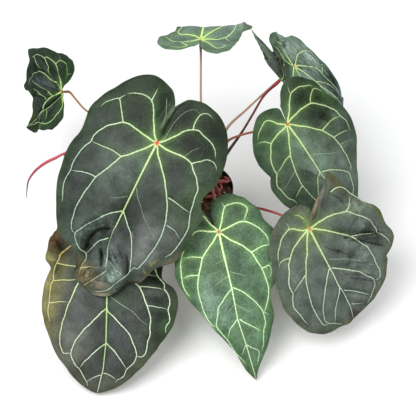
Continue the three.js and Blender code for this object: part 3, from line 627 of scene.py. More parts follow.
def limb(name: str, finish: Finishes, slot: str, line: np.ndarray, table: np.ndarray, tints: np.ndarray,
         *nodes: str) -> Object:
    """Builds a closed round limb along a line and sets it in place.

    Args:
        name: Name of the piece.
        finish: Its finish.
        slot: Its material slot.
        line: Centre points, one row each.
        table: Radii, a row for each point and a column for each side.
        tints: Linear colour at each point.
        *nodes: CAD nodes that the limb replaces.

    Returns:
        The piece.
    """
    ahead = np.gradient(line, axis=0)
    ahead /= np.linalg.norm(ahead, axis=1)[:, None]
    up = np.cross(ahead[0], (0.31, 0.22, 0.93) if abs(ahead[0][2]) < 0.8 else (1.0, 0.1, 0.0))
    sides = table.shape[1]
    angles = around(sides)
    rings, flats = [], []
    run = 0.0
    for i, centre in enumerate(line):
        up = up - ahead[i] * (up @ ahead[i])
        up /= np.linalg.norm(up)
        out = np.cos(angles)[:, None] * up + np.sin(angles)[:, None] * np.cross(ahead[i], up)
        rings.append(centre + out * table[i][:, None])
        run += 0.0 if i == 0 else float(np.linalg.norm(line[i] - line[i - 1]))
        flats.append(np.column_stack([np.full(sides, run), np.sin(angles) * table[i] * 2]))
    faces = band(0, len(line), sides)
    start, end = len(line) * sides, len(line) * sides + 1
    last = start - sides
    for j in range(sides):
        k = (j + 1) % sides
        faces += [(start, k, j), (end, last + j, last + k)]
    ends = np.array([-ahead[0] * table[0].mean(), ahead[-1] * table[-1].mean()])
    caps = line[[0, -1]] + ends * 0.35
    solid = Solid()
    solid.add(np.vstack([*rings, caps]), np.vstack([*flats, [[0, 0], [run, 0]]]),
              np.vstack([np.repeat(tints, sides, axis=0), tints[:1], tints[-1:]]), faces)
    return settle(solid.build(name, finish), slot, *nodes)


# Leaves


def bent(slopes: Pairs, distance: np.ndarray, lift: np.ndarray) -> tuple[np.ndarray, np.ndarray]:
    """Places points of a strip that is bent to a list of slopes.

    Args:
        slopes: Pairs of distance along the strip and slope in degrees.
        distance: Distances of the points along the strip.
        lift: Heights of the points above the strip.

    Returns:
        How far ahead and how high the points are.
    """
    at, angles = zip(*slopes)
    whole = np.floor(np.abs(distance)).astype(int)
    middles = np.arange(int(whole.max()) + 1) + 0.5
    sums = []
    for step in (-1.0, 1.0):
        slope = np.radians(np.interp(step * middles, at, angles))
        sums.append([np.concatenate([[0.0], np.cumsum(step * turn(slope))]) for turn in (np.cos, np.sin)])
    back = distance < 0
    slope = np.radians(np.interp(distance, at, angles))
    rest = distance - np.where(back, -1.0, 1.0) * whole
    x = np.where(back, sums[0][0][whole], sums[1][0][whole]) + rest * np.cos(slope)
    z = np.where(back, sums[0][1][whole], sums[1][1][whole]) + rest * np.sin(slope)
    return x - lift * np.sin(slope), z + lift * np.cos(slope)


def spot(flat: np.ndarray, u: float, v: float, length: float, width: float, heading: float,
         power: float = 1.0) -> np.ndarray:
    """Gives the weight, from 0 to 1, of flat points in an oval spot with soft edges.

    Args:
        flat: Flat points, one row each.
        u: Place of its middle along the blade.
        v: Place of its middle across the blade.
        length: Half length in millimetres.
        width: Half width in millimetres.
        heading: Heading of its length in degrees.
        power: Above one, a flatter middle and a sharper edge.

    Returns:
        The weight of each point.
    """
    c, s = math.cos(math.radians(heading)), math.sin(math.radians(heading))
    a = ((flat[:, 0] - u) * c + (flat[:, 1] - v) * s) / length
    b = ((flat[:, 1] - v) * c - (flat[:, 0] - u) * s) / width
    return np.exp(-((a * a + b * b) ** power))


@dataclass(frozen=True)
class BladeShape:
    """A blade drawn flat, and how it is bent and set in the plant.

    In the flat, u runs along the midrib from the stalk to the tip, and v to the right when the tip points at
    the viewer. `left` and `right` follow the margin from notch to tip. `bumps` are (u, v, half length,
    half width, heading, height) and `folds` (u, v, heading, radius, turn, side).
    """

    at: Triple
    bearing: float
    elevation: float
    turn: float
    midrib: Pairs
    left: Pairs
    right: Pairs
    spine: Pairs
    left_bend: Pairs
    right_bend: Pairs
    bumps: Pairs = ()
    folds: Pairs = ()

    def axes(self) -> tuple[np.ndarray, np.ndarray, np.ndarray]:
        """Gives the directions towards the tip, to the right and out of the upper face.

        Returns:
            The three unit vectors.
        """
        a, e, t = (math.radians(value) for value in (self.bearing, self.elevation, self.turn))
        out = np.array([math.cos(e) * math.cos(a), math.cos(e) * math.sin(a), math.sin(e)])
        down = np.array([math.sin(e) * math.cos(a), math.sin(e) * math.sin(a), -math.cos(e)])
        tip = down * math.cos(t) + np.cross(out, down) * math.sin(t)
        return tip, np.cross(out, tip), out

    def place(self, flat: np.ndarray, side: np.ndarray, lift: np.ndarray, creases: Pairs = ()) -> np.ndarray:
        """Places flat points of the blade in the plant.

        Args:
            flat: Flat points, one row each.
            side: -1 for the left half and 1 for the right, for each point.
            lift: Heights above the middle surface.
            creases: Extra bumps of finer relief.

        Returns:
            The points in millimetres, one row each.
        """
        u, v, z = flat[:, 0], flat[:, 1], np.array(lift, float)
        for *oval, height in (*self.bumps, *creases):
            z = z + height * spot(flat, *oval, 0.85)
        for fu, fv, heading, radius, turn, fold_side in self.folds:
            du, dv = math.cos(math.radians(heading)), math.sin(math.radians(heading))
            past = np.where(side == fold_side, (u - fu) * du + (v - fv) * dv, 0.0)
            arc = np.clip(past / radius, 0, math.radians(turn))
            rest = np.maximum(past - radius * math.radians(turn), 0)
            ahead = radius * np.sin(arc) + rest * np.cos(arc) - z * np.sin(arc)
            raised = radius * (1 - np.cos(arc)) + rest * np.sin(arc) + z * np.cos(arc)
            moved = np.where(past > 0, ahead - past, 0.0)
            u, v, z = u + du * moved, v + dv * moved, np.where(past > 0, raised, z)
        centre = np.interp(u, *zip(*self.midrib))
        halves = [bent(self.left_bend, centre - v, z), bent(self.right_bend, v - centre, z)]
        right = side > 0
        across = np.where(right, halves[1][0], -halves[0][0])
        high = np.where(right, halves[1][1], halves[0][1])
        middle = side == 0
        across = np.where(middle, 0.0, across)
        high = np.where(middle, (halves[0][1] + halves[1][1]) / 2, high)
        ahead, raised = bent(self.spine, u, high)
        tip, level, out = self.axes()
        placed = np.outer(ahead, tip) + np.outer(centre + across, level) + np.outer(raised, out)
        return np.array(self.at) + placed


class Rank(Enum):
    """Kinds of vein: widths at its start and end and height in millimetres, and strength of its colour."""

    MIDRIB = (4.2, 1.3, 0.36, 1.0)
    MAIN = (3.1, 1.6, 0.3, 1.0)
    SIDE = (2.2, 1.3, 0.24, 0.95)
    LINK = (1.7, 1.0, 0.18, 0.8)
    FAINT = (1.1, 0.7, 0.1, 0.42)
    THORN = (1.8, 0.3, 0.2, 0.85)


def number(word: str) -> float:
    """Reads a number, whole if it has no decimal point."""
    return float(word) if "." in word else int(word)


def path(text: str) -> Pairs:
    """Reads the points of a line, each written as u,v."""
    return tuple(tuple(number(word) for word in pair.split(",")) for pair in text.split())


def rows(text: str) -> tuple:
    """Reads rows of numbers and hex colours, parted by semicolons."""
    parted = (row.split() for row in text.split(";"))
    return tuple(tuple(word if word[0] == "#" else number(word) for word in row) for row in parted)


def ranked(text: str) -> list[tuple[Rank, Pairs]]:
    """Reads veins, each the word of its rank and the points that it passes."""
    return [(Rank[word.upper()], path(points)) for word, points in re.findall("([a-z]+)([^a-z]+)", text)]


@dataclass(frozen=True)
class LeafColours:
    """Colours of one leaf.

    The skin's patches are (u, v, half length, half width, heading, colour, share). Some give the leaf's own
    tone and some are painted shade and painted sheen. `vein_patches` are the same on the veins. `near` and
    `far` are the vein's colour at the stalk and outwards, and `eye` is the spot where the stalk joins.
    `creases` are fine bumps that also paint shade into their valleys and highlight onto their ridges, and
    `wrinkles` (u, v, half length, half width, heading, count, height) strew small ones and mark the skin as
    crumpled. `cracks` (half width, depth, u, v, u, v, ...) are sharp creases whose dark is painted shade.
    `lap` is the side of the basal lobe that lies over the other, how far it is lifted and how far from the
    midrib the lift reaches.
    """

    finish: Finishes
    skin: str
    margin: str
    near: str
    far: str
    under: str
    eye: str
    margin_width: float = 13.0
    margin_share: float = 0.7
    glow: str = "#5c8444"
    tone_shade_and_sheen_patches: tuple = ()
    vein_patches: tuple = ()
    creases: Pairs = ()
    wrinkles: Pairs = ()
    cracks: Pairs = ()
    eye_radius: float = 3.2
    glow_reach: float = 70.0
    glow_width: float = 4.6
    lap: tuple[int, float, float] = (0, 0.0, 1.0)


# Section of a vein, once round: share of its half width, and height in shares of the vein's own height.
# Levels down to -0.5 stand on the upper face and the others under the lower one.
VEIN_SECTION = path("-1.0,-0.1 -0.62,0.65 0.0,1.0 0.62,0.65 1.0,-0.1 0.62,-1.2 0.0,-1.6 -0.62,-1.2")
UPPER_LEVEL = -0.5
# Distance between the kinks of a vein, in millimetres.
KINK_SPACING = 9.0
# Strength of the faint side veins beside a drawn faint vein.
FRINGE_FADE = 0.34


@dataclass
class Leaf:
    """One leaf blade: skin, underside and raised veins."""

    name: str
    slot: str
    shape: BladeShape
    colours: LeafColours
    veins: str
    seed: int
    piece: str = ""
    node: str = ""
    cell: float = 2.3
    thickness: float = 0.7
    quilt: float = 0.8
    vein_step: float = 2.4
    kink: float = 0.55
    slimness: float = 1.0

    def build(self) -> Object:
        """Builds the leaf and sets it in place of its CAD node.

        Returns:
            The finished piece.
        """
        self.random = np.random.default_rng(self.seed)
        self.midrib = evenly(np.array(self.shape.midrib, float), self.cell)
        self.margins = {
            side: catmull(np.array([(0.0, 0.0), *margin], float), self.cell)
            for side, margin in ((-1, self.shape.left), (1, self.shape.right))
        }
        self.runs = [(rank, self.kinked(catmull(np.array(points, float), self.vein_step)))
                     for rank, points in ranked(self.veins)]
        self.edge = Near(list(self.margins.values()))
        glowing = [run for rank, run in self.runs if rank in (Rank.MAIN, Rank.SIDE)]
        self.strong = Near([run for rank, run in self.runs if rank is not Rank.FAINT] + [self.midrib])
        self.glowing = Near([*glowing, self.midrib])
        self.creases = (*self.colours.creases, *self.wrinkled())
        lines = [(width, depth, catmull(np.array(list(zip(way[::2], way[1::2])), float), 1.6))
                 for width, depth, *way in self.colours.cracks]
        self.cracks = [(width, depth, line, Near([line])) for width, depth, line in lines]
        self.solid = Solid()
        self.drawn = []
        self.add_skin()
        self.add_vein(Rank.MIDRIB, self.midrib)
        for rank, run in self.runs:
            self.add_vein(rank, run)
        for rank, run in self.runs:
            if rank in (Rank.MAIN, Rank.SIDE):
                self.add_stubs(run)
                self.add_fringe(run)
        self.raise_veins()
        name = self.piece or f"{self.name}_leaf"
        piece = self.solid.build(name, self.colours.finish, Finishes.UNDERSIDE, Finishes.VEIN)
        return settle(piece, self.slot, self.node or f"blade_{self.name}")

    def kinked(self, run: np.ndarray) -> np.ndarray:
        """Gives a vein the small kinks of its nodes.

        Args:
            run: Its flat points, one row each.

        Returns:
            The moved points.
        """
        ahead = np.gradient(run, axis=0)
        beside = np.column_stack([-ahead[:, 1], ahead[:, 0]]) / np.linalg.norm(ahead, axis=1)[:, None]
        way = np.arange(len(run)) * self.vein_step
        nodes = np.arange(0, way[-1] + KINK_SPACING, KINK_SPACING)
        sway = np.interp(way, nodes, self.random.uniform(-self.kink, self.kink, len(nodes)))
        return run + beside * (sway * np.clip(np.minimum(way, way[-1] - way) / KINK_SPACING, 0, 1))[:, None]

    def wrinkled(self) -> list[tuple[float, ...]]:
        """Strews small creases over the crumpled parts of the blade.

        Returns:
            Their rows, written as bumps are.
        """
        creases = []
        for u, v, length, width, heading, count, height in self.colours.wrinkles:
            c, s = math.cos(math.radians(heading)), math.sin(math.radians(heading))
            for _ in range(count):
                a, b = self.random.normal(0, 0.5, 2) * (length, width)
                size = self.random.uniform(0.15, 0.34) * length
                turn = heading + self.random.normal(0, 28)
                rise = height * self.random.uniform(0.5, 1) * self.random.choice((-1, 1))
                creases.append((u + a * c - b * s, v + a * s + b * c, size, max(0.2 * size, 1.7), turn, rise))
        return creases

    def side_of(self, flat: np.ndarray) -> np.ndarray:
        """Tells on which side of the midrib flat points lie."""
        away = flat[:, 1] - np.interp(flat[:, 0], *zip(*self.shape.midrib))
        return np.where(np.abs(away) < 0.02, 0, np.sign(away))

    def relief(self, flat: np.ndarray, side: np.ndarray | None = None) -> np.ndarray:
        """Gives the quilting between the veins, the ripple of the margin and the lapping lobe.

        Args:
            flat: Flat points of the blade.
            side: Half of the blade for each point, where it isn't told by the midrib.

        Returns:
            Heights over the smooth blade in millimetres.
        """
        away, edge = self.strong(flat), self.edge(flat)
        angle = np.arctan2(flat[:, 1], flat[:, 0])
        waves = np.sin(11 * angle + self.seed) + np.sin(23 * angle + 2 * self.seed)
        ripple = 0.45 * np.exp(-edge / 9) * waves
        calm = np.clip(np.hypot(flat[:, 0], flat[:, 1]) / 30, 0, 1)
        over, lift, reach = self.colours.lap
        side = self.side_of(flat) if side is None else side
        lap = np.where(side == over, lift, 0.0) * np.exp(-((flat[:, 1] / reach) ** 2))
        lap = lap * np.clip(-flat[:, 0] / 14, 0, 1)
        depth = sum((deep * np.exp(-((near(flat) / wide) ** 2)) for wide, deep, _, near in self.cracks), 0.0)
        quilt = self.quilt * np.clip(edge / 5, 0, 1) * (0.5 - np.exp(-((away / 4.5) ** 2)))
        return calm * (quilt + ripple) + lap - depth

    def skin_tint(self, flat: np.ndarray) -> np.ndarray:
        """Paints the skin: margin, patches of tone and of painted shade and sheen, painted shade and
        highlight on the creases, a darker border along the veins, the glow beside the veins, painted shade in
        the cracks and the eye.

        Args:
            flat: Flat points of the blade.

        Returns:
            A linear colour for each, one row each.
        """
        looks = self.colours
        tint = np.repeat(rgb(looks.skin)[None], len(flat), axis=0)
        edge, away = self.edge(flat), self.glowing(flat)
        reach = np.hypot(flat[:, 0], flat[:, 1])
        tint = blend(tint, looks.margin, looks.margin_share * np.exp(-((edge / looks.margin_width) ** 1.5)))
        # Patches of the leaf's own tone, and patches of painted shade and painted sheen.
        for *oval, colour, share in looks.tone_shade_and_sheen_patches:
            tint = blend(tint, colour, share * spot(flat, *oval, 1.5))
        # Painted shade and highlight of the creases: their valleys are darkened and their ridges lightened.
        for *oval, height in self.creases:
            tint = tint * (1 + np.clip(height * 0.14, -0.75, 0.6) * spot(flat, *oval, 0.75))[:, None]
        glow = 0.9 * np.exp(-away / looks.glow_width) * np.exp(-reach / looks.glow_reach)
        tint = tint * (1 - 0.3 * np.exp(-((away / 3.6) ** 2)) * (1 - glow))[:, None]
        tint = blend(tint, looks.glow, glow)
        # Painted shade in the cracks.
        for wide, deep, _, near in self.cracks:
            tint = tint * (1 - min(0.3 * deep, 0.85) * np.exp(-((near(flat) / wide) ** 2)))[:, None]
        return blend(tint, looks.eye, np.exp(-((reach / looks.eye_radius) ** 4)))

    def crumpled(self, flat: np.ndarray) -> np.ndarray:
        """Tells how crumpled the skin is, from 0 to 1.

        Args:
            flat: Flat points of the blade.

        Returns:
            A share for each, from 0 to 1.
        """
        weight = np.zeros(len(flat))
        for u, v, length, width, heading, _, height in self.colours.wrinkles:
            weight += height / 1.6 * spot(flat, u, v, length, width, heading, 1.5)
        return np.clip(weight, 0, 1)

    def add_skin(self) -> None:
        """Adds upper face, underside and rim as one closed shell."""
        halves = []
        for side in (-1, 1):
            outline = np.vstack([self.margins[side], self.midrib[-2:0:-1]])
            lines = [run for _, run in self.runs] + [line for _, _, line, _ in self.cracks]
            own = [line for line in lines if np.sign(np.median(self.side_of(line))) == side]
            halves.append(triangulated(outline, own, self.cell))
        flat = np.vstack([halves[0][0], halves[1][0]])
        side = np.concatenate([np.full(len(halves[0][0]), -1), np.full(len(halves[1][0]), 1)])
        triangles = np.vstack([halves[0][1], halves[1][1] + len(halves[0][0])])
        on_midrib = Near([self.midrib])(flat) < 0.01
        keys = np.round(flat, 2)
        keys = np.column_stack([keys, np.where(on_midrib, 0, side)])
        _, first, index = np.unique(keys, axis=0, return_index=True, return_inverse=True)
        index = index.reshape(-1)
        flat, side = flat[first], np.where(on_midrib, 0, side)[first]
        triangles = index[triangles]
        good = (triangles[:, 0] != triangles[:, 1]) & (triangles[:, 1] != triangles[:, 2])
        triangles = triangles[good & (triangles[:, 0] != triangles[:, 2])]
        used = np.unique(triangles)
        flat, side = flat[used], side[used]
        triangles = np.searchsorted(used, triangles)
        count = len(flat)
        relief, tint = self.relief(flat, side), self.skin_tint(flat)
        edge = self.edge(flat)
        half = self.thickness / 2 * (0.55 + 0.45 * np.clip(edge / 8, 0, 1))
        directed = {(int(t[k]), int(t[(k + 1) % 3])) for t in triangles for k in range(3)}
        border = sorted(pair for pair in directed if (pair[1], pair[0]) not in directed)
        outward = np.zeros((count, 2))
        for a, b in border:
            way = flat[b] - flat[a]
            outward[a] += (way[1], -way[0])
            outward[b] += (way[1], -way[0])
        rim = np.array(sorted({a for a, _ in border}))
        outward = outward[rim] / np.maximum(np.linalg.norm(outward[rim], axis=1), 1e-6)[:, None]
        rim_flat = flat[rim] + outward * self.thickness * 0.35
        place = self.shape.place
        creases = self.creases
        points = np.vstack([
            place(flat, side, relief + half, creases), place(flat, side, relief - half, creases),
            place(rim_flat, side[rim], relief[rim], creases),
        ])
        number = {int(a): 2 * count + k for k, a in enumerate(rim)}
        faces = [((int(a), int(b), int(c)), 0) for a, b, c in triangles]
        faces += [((int(c) + count, int(b) + count, int(a) + count), 1) for a, b, c in triangles]
        for a, b in border:
            faces.append(((b, a, number[a], number[b]), 0))
            faces.append(((number[b], number[a], a + count, b + count), 1))
        under = blend(np.repeat(rgb(self.colours.under)[None], count, axis=0), self.colours.margin, 0.25)
        rim_tint = blend(tint[rim], "#8c8a62", 0.45)
        flats = np.vstack([flat, flat, rim_flat])
        self.solid.add(points, flats, np.vstack([tint, under, rim_tint]), faces, 0, self.crumpled(flats))

    def add_vein(self, rank: Rank, run: np.ndarray, fade: float = 1.0) -> None:
        """Draws one vein flat, for `raise_veins` to raise out of both faces.

        Args:
            rank: Kind of the vein.
            run: Flat points that it follows.
            fade: Multiplier of its width and of how far its colour stands out.
        """
        start, end, height, strength = rank.value
        ahead = np.gradient(run, axis=0)
        ahead /= np.maximum(np.linalg.norm(ahead, axis=1), 1e-6)[:, None]
        beside = np.column_stack([-ahead[:, 1], ahead[:, 0]])
        t = np.linspace(0, 1, len(run))
        width = fade * (start + (end - start) * t**0.7) / 2 * np.clip((1.02 - t) * len(run) / 3, 0.2, 1)
        width = self.slimness * width * (1 + 0.16 * np.sin(np.arange(len(run)) * 1.9 + len(run)))
        shares, levels = np.array(VEIN_SECTION).T
        half = self.thickness / 2
        over = np.where(levels > UPPER_LEVEL, half + height * levels, -half + height * levels * 1.3)
        flat = run[:, None] + beside[:, None] * (shares[None] * width[:, None])[..., None]
        flat = flat.reshape(-1, 2)
        own = np.sign(np.median(self.side_of(run)))
        side = self.side_of(flat) if rank is Rank.MIDRIB else np.full(len(flat), own)
        share = strength * fade * (1 - 0.2 * t) * np.clip(0.45 + (1 - t) * len(run) / 12, 0, 1)
        share = np.repeat(np.clip(share, 0, 1), len(shares))
        self.drawn.append((run, flat, side, np.tile(over, len(run)), share))

    def raise_veins(self) -> None:
        """Raises the drawn veins out of both faces of the blade."""
        count = len(VEIN_SECTION)
        runs, flats, sides, overs, shares = (np.concatenate(column) for column in zip(*self.drawn))
        relief = np.repeat(self.relief(runs), count)
        points = self.shape.place(flats, sides, relief + overs, self.creases)
        faces = []
        first = 0
        for run, *_ in self.drawn:
            last = first + (len(run) - 1) * count
            faces += band(first, len(run), count)
            faces.append(tuple(range(first, first + count)))
            faces.append(tuple(range(last, last + count))[::-1])
            first = last + count
        reach = np.hypot(flats[:, 0], flats[:, 1])
        tint = np.repeat(rgb(self.colours.near)[None], len(flats), axis=0)
        tint = blend(tint, self.colours.far, np.clip(reach / 130, 0, 1) ** 0.8)
        for *oval, colour, amount in self.colours.vein_patches:
            tint = blend(tint, colour, amount * spot(flats, *oval, 1.5))
        tint = blend(tint, self.colours.eye, np.exp(-((reach / self.colours.eye_radius) ** 4)))
        skin = self.skin_tint(flats)
        crumple = 0.6 * self.crumpled(flats)
        tint = skin + (tint - skin) * (shares * (1 - 0.25 * crumple))[:, None]
        self.solid.add(points, flats, tint, faces, 2, crumple)

    def add_stubs(self, run: np.ndarray) -> None:
        """Adds the short broken veinlets that leave a vein like thorns.

        Args:
            run: The vein's flat points.
        """
        i = int(self.random.integers(3, 8))
        while i < len(run) - 3:
            way = run[i + 1] - run[i]
            way /= np.linalg.norm(way)
            turn = math.radians(self.random.uniform(35, 75)) * (1 if self.random.random() < 0.5 else -1)
            c, s = math.cos(turn), math.sin(turn)
            leave = np.array([way[0] * c - way[1] * s, way[0] * s + way[1] * c])
            length = self.random.uniform(2.2, 4.5)
            stub = run[i] + leave * length * np.linspace(0, 1, 3)[:, None]
            if self.edge(stub).min() > 6:
                self.add_vein(Rank.THORN, stub)
            i += int(self.random.integers(3, 8))

    def add_fringe(self, run: np.ndarray) -> None:
        """Adds the faint side veins that run from a vein towards the margin or the next vein.

        Args:
            run: The vein's flat points.
        """
        curve = self.random.uniform(0.3, 0.6)
        i = int(self.random.integers(4, 8))
        while i < len(run) - 2:
            way = run[i + 1] - run[i - 1]
            way /= np.linalg.norm(way)
            for turn in (-1, 1):
                leave = np.array([-way[1], way[0]]) * turn
                t = np.arange(0, 40.0, 1.8)[:, None]
                line = run[i] + leave * t + way * ((curve + self.random.normal(0, 0.06)) * t + 0.006 * t**2)
                free = (self.edge(line) > 4) & ((self.strong(line) > 2.2) | (t[:, 0] < 4))
                stop = len(line) if free.all() else int(np.argmin(free))
                if stop > 4:
                    kept = max(int(stop * self.random.uniform(0.6, 1.0)), 4)
                    self.add_vein(Rank.FAINT, line[:kept], FRINGE_FADE)
            i += int(self.random.integers(5, 9))


def blend(tint: np.ndarray, colour: str, share) -> np.ndarray:
    """Moves linear colours towards one hex colour by a share from 0 to 1."""
    return tint + (rgb(colour) - tint) * np.broadcast_to(np.asarray(share, float), (len(tint),))[:, None]


FRONT_LARGE = Leaf(
    "front_large", "dark_velvet_blade", seed=3, cell=1.9,
    shape=BladeShape(
        at=(-67, -65, 285), bearing=-103, elevation=50, turn=-20,
        midrib=path("0,0 53,2 117,5 160,7 193,13 223,27 246,15 266,4"),
        left=path("""-18,0 -38,0.8 -50,0 -63,-4 -74,-10.5 -84,-20 -89,-33 -92,-48 -91,-61 -84,-74 -73,-87
        -58,-98 -44,-106 -30,-115 -16,-122 -3,-127 10,-128 24,-125 37,-122 49,-123 61,-127 76,-129 94,-128
        111,-124 130,-119 151,-110 171,-98 189,-87 203,-76 210,-65 213,-52 214,-43 223,-31 236,-22 250,-19
        262,-10 266,4"""),
        right=path("""-16,-2 -36,-5 -50,-5 -62,-4 -73,1 -85,9 -90,22 -92,36 -90,51 -86,66 -78,80 -69,90
        -57,99 -42,107 -30,112 -16,115 -3,116 10,117 21,115 30,112 40,110 49,111 56,116 65,124 73,125
        85,123 98,123 115,125 132,123 150,120 161,111 170,101 180,95 193,92 205,88 213,82 219,72 227,65
        236,62 248,56 256,51 264,38 269,24 266,4"""),
        spine=path("-95,10 -20,4 0,0 120,-5 205,-7 235,-9 270,-10"),
        left_bend=path("0,9 45,5 85,-6 130,-20"),
        right_bend=path("0,9 45,5 85,-6 130,-20"),
        bumps=rows("""
        192 -12 32 9 -4 -10; 199 12 11 8 0 -6; 176 2 26 9 10 5; 185 -40 24 18 0 5; -62 -30 24 26 0 7;
        48 112 16 16 0 -5; 176 92 14 14 0 5; 246 -14 14 10 0 5
        """),
    ),
    colours=LeafColours(
        Finishes.DARK_VELVET, skin="#323834", margin="#36472e", near="#c2d68c", far="#b2cab2",
        under="#6b6a4c", eye="#d8322a", eye_radius=3.9, lap=(-1, 1.6, 26.0), glow="#678c50",
        glow_reach=48.0, glow_width=6.0,
        # Among these patches, the near-black ones on the right lobe, in the notch under the lapping lobe and
        # in the pit beside the midrib near the tip are painted shade. The pale grey ones on the middle and
        # the tip, and the pale band along the left lobe's edge at the notch, are painted sheen and highlight.
        # The brown, olive, yellow and rim patches are the leaf's own colour.
        tone_shade_and_sheen_patches=rows("""
        70 -25 62 46 0 #4f5852 0.8; -46 56 54 54 0 #10170f 0.95; -30 14 40 13 0 #0a0e08 0.8;
        -50 -60 56 62 0 #1b2518 0.8; 60 95 50 26 0 #43543c 0.6; -50 -5 30 2.4 -4 #6d7f66 0.6;
        150 60 46 40 0 #646864 0.8; 120 12 44 22 20 #222521 0.85; 146 34 20 16 30 #1f2220 0.6;
        185 -46 30 20 0 #48564e 0.7; 160 -22 18 12 0 #46544c 0.6; 215 30 36 24 40 #5f6d64 0.8;
        185 25 30 14 30 #3e4344 0.6; 244 -6 22 18 60 #6a6248 0.9; 255 34 14 24 -30 #7c7765 0.8;
        209 86 20 8 -42 #5a564a 0.7; 118 94 34 20 0 #5c605a 0.35; 14 84 26 20 0 #3f4e40 0.6;
        200 -36 14 12 0 #5c6c60 0.6; 226 42 14 14 0 #74857a 0.6; 238 -24 18 5 20 #33261a 0.85;
        189 85 5 1.6 70 #8c8634 0.7; 168 91 8 1.4 -20 #8c8634 0.6; 172 88 5 1.4 60 #8c8634 0.5;
        206 8 15 1.9 27 #040604 0.9; 148 39 6 1.2 40 #a88c90 0.5; 170 106 44 6 -24 #5a5244 0.7
        """),
        vein_patches=rows("246 0 34 26 0 #ccb263 0.8; 120 5 70 10 0 #b8cf72 0.6"),
        creases=rows("""
        206 -20 14 4.5 16 -5; 185 -21 11 4.5 -12 -5; 169 -12 12 4.5 -43 -4; 198 -10 14 4 10 3.5;
        206 8 15 3 27 -4; 190 22 26 7 40 3.5; 198 54 15 4 30 -4; 204 42 18 7 30 3; 228 60 20 4 127 -5;
        236 72 16 5 127 3; 256 36 18 4 110 -4; 236 33 12 3.5 25 -4; 244 -22 14 4 -50 -4;
        152 -20 9 3.5 60 2.5; 163 -30 12 3.5 10 2.2; 158 -8 7 3 30 -2; 172 -36 9 3 -30 -2; -48 -7 30 5 -4 3;
        -46 -18 28 5 -4 -2.5; 218 44 16 3 70 2; 212 30 12 3 50 -2.2; 224 28 12 3 20 2; 160 10 14 5 50 2.5;
        176 34 14 4 0 -1.5; 100 30 26 14 20 -1.2; 60 -30 30 16 -30 1.2
        """),
        wrinkles=rows("""
        208 34 28 20 40 20 1.7; 160 -24 20 11 -30 12 1.6; 246 8 24 20 60 14 1.3; 222 66 26 8 124 8 1.4;
        196 -28 20 18 0 8 0.9; 120 -20 60 40 0 6 0.35
        """),
        cracks=rows("""
        1.7 3.0 206 -19 197 -22 188 -22 179 -20 171 -16 164 -9 158 0; 1.6 3.2 197 2 207 11 220 16;
        1.2 1.8 187 20 194 31 201 40; 1.4 2.6 183 46 192 53 201 57 210 60;
        1.8 3.2 240 58 230 64 221 70 209 84; 1.2 1.6 214 -50 222 -38 232 -30 244 -24;
        1.0 1.4 176 26 184 34 190 44; 1.0 1.4 218 30 226 38 232 46; 1.0 1.4 246 20 240 32 236 42;
        1.2 1.8 228 4 238 -2 248 -3; 1.1 1.5 208 -28 200 -30 190 -32; 1.0 1.2 152 -26 160 -22 168 -22;
        1.4 2.0 -78 6 -58 -1 -36 -1 -18 1
        """),
    ),
    veins="""
    main 0,0 13,-10 26,-20 39,-31 47,-39 70,-48 85,-55 96,-60 113,-63 130,-65 147,-66 165,-64 180,-60
        191,-53 193,-46
    main 0,0 16,12 28,25 40,37 53,48 65,57 79,66 94,73 107,77 122,80 136,81 150,80 167,78 182,75 191,72
        192,64
    main 0,0 -1,-22 -3,-40 -4,-53 -1,-65 6,-74 16,-85 28,-92 40,-97 50,-96 59,-101 72,-105 85,-107 98,-107
        108,-104 119,-105 132,-104 147,-98 160,-91
    side -2,-64 -15,-74 -25,-83 -31,-90 -24,-100 -14,-108 -4,-112
    side -31,-90 -36,-87 -44,-82
    main 0,0 1,23 -1,38 -2,50 1,66 8,74 16,84 26,92 33,96 46,98 59,101 71,104 83,109 95,113 107,113 116,112
        128,111 141,108 152,102
    side 1,66 -9,77 -16,84 -18,96 -14,103 -7,107
    main 0,0 -10,-10 -21,-18 -32,-25 -43,-31 -53,-41 -56,-53 -54,-64 -50,-74 -44,-82
    side -53,-41 -66,-42 -77,-43
    main 0,0 -12,12 -24,21 -38,30 -46,41 -49,50 -47,59 -43,75 -37,87 -25,95
    side -46,41 -59,38 -74,39 -80,48 -77,60
    faint -4,3 -14,7 -39,8 -58,12 -71,20 -75,25 -74,39
    faint -68,-22 -57,-16 -44,-10 -22,-3
    faint 1,45 -4,51 -16,57 -30,68
    side 123,4 130,-5 143,-18 154,-25 166,-33 180,-41 192,-46 202,-40 211,-29 216,-16 223,-11 232,-13
        249,-10
    side 172,5 182,-4 189,-8 203,-12 216,-16
    link 240,-13 230,1 223,16
    side 122,5 129,13 136,21 150,37 160,44 169,49 180,54 190,58 203,63 217,58 235,50 249,44 258,34 263,26
    link 206,24 210,38 212,50 217,58
    link 203,63 194,66 191,72
    side 47,-39 46,-53 46,-68 49,-85 50,-96
    side 96,-60 97,-74 102,-89 108,-104
    side 66,61 67,77 69,92 70,104
    link 105,80 106,87 107,95 115,111
    faint 78,6 90,16 102,28 112,40 122,56 130,66
    faint 98,0 107,-12 115,-27
    """,
)
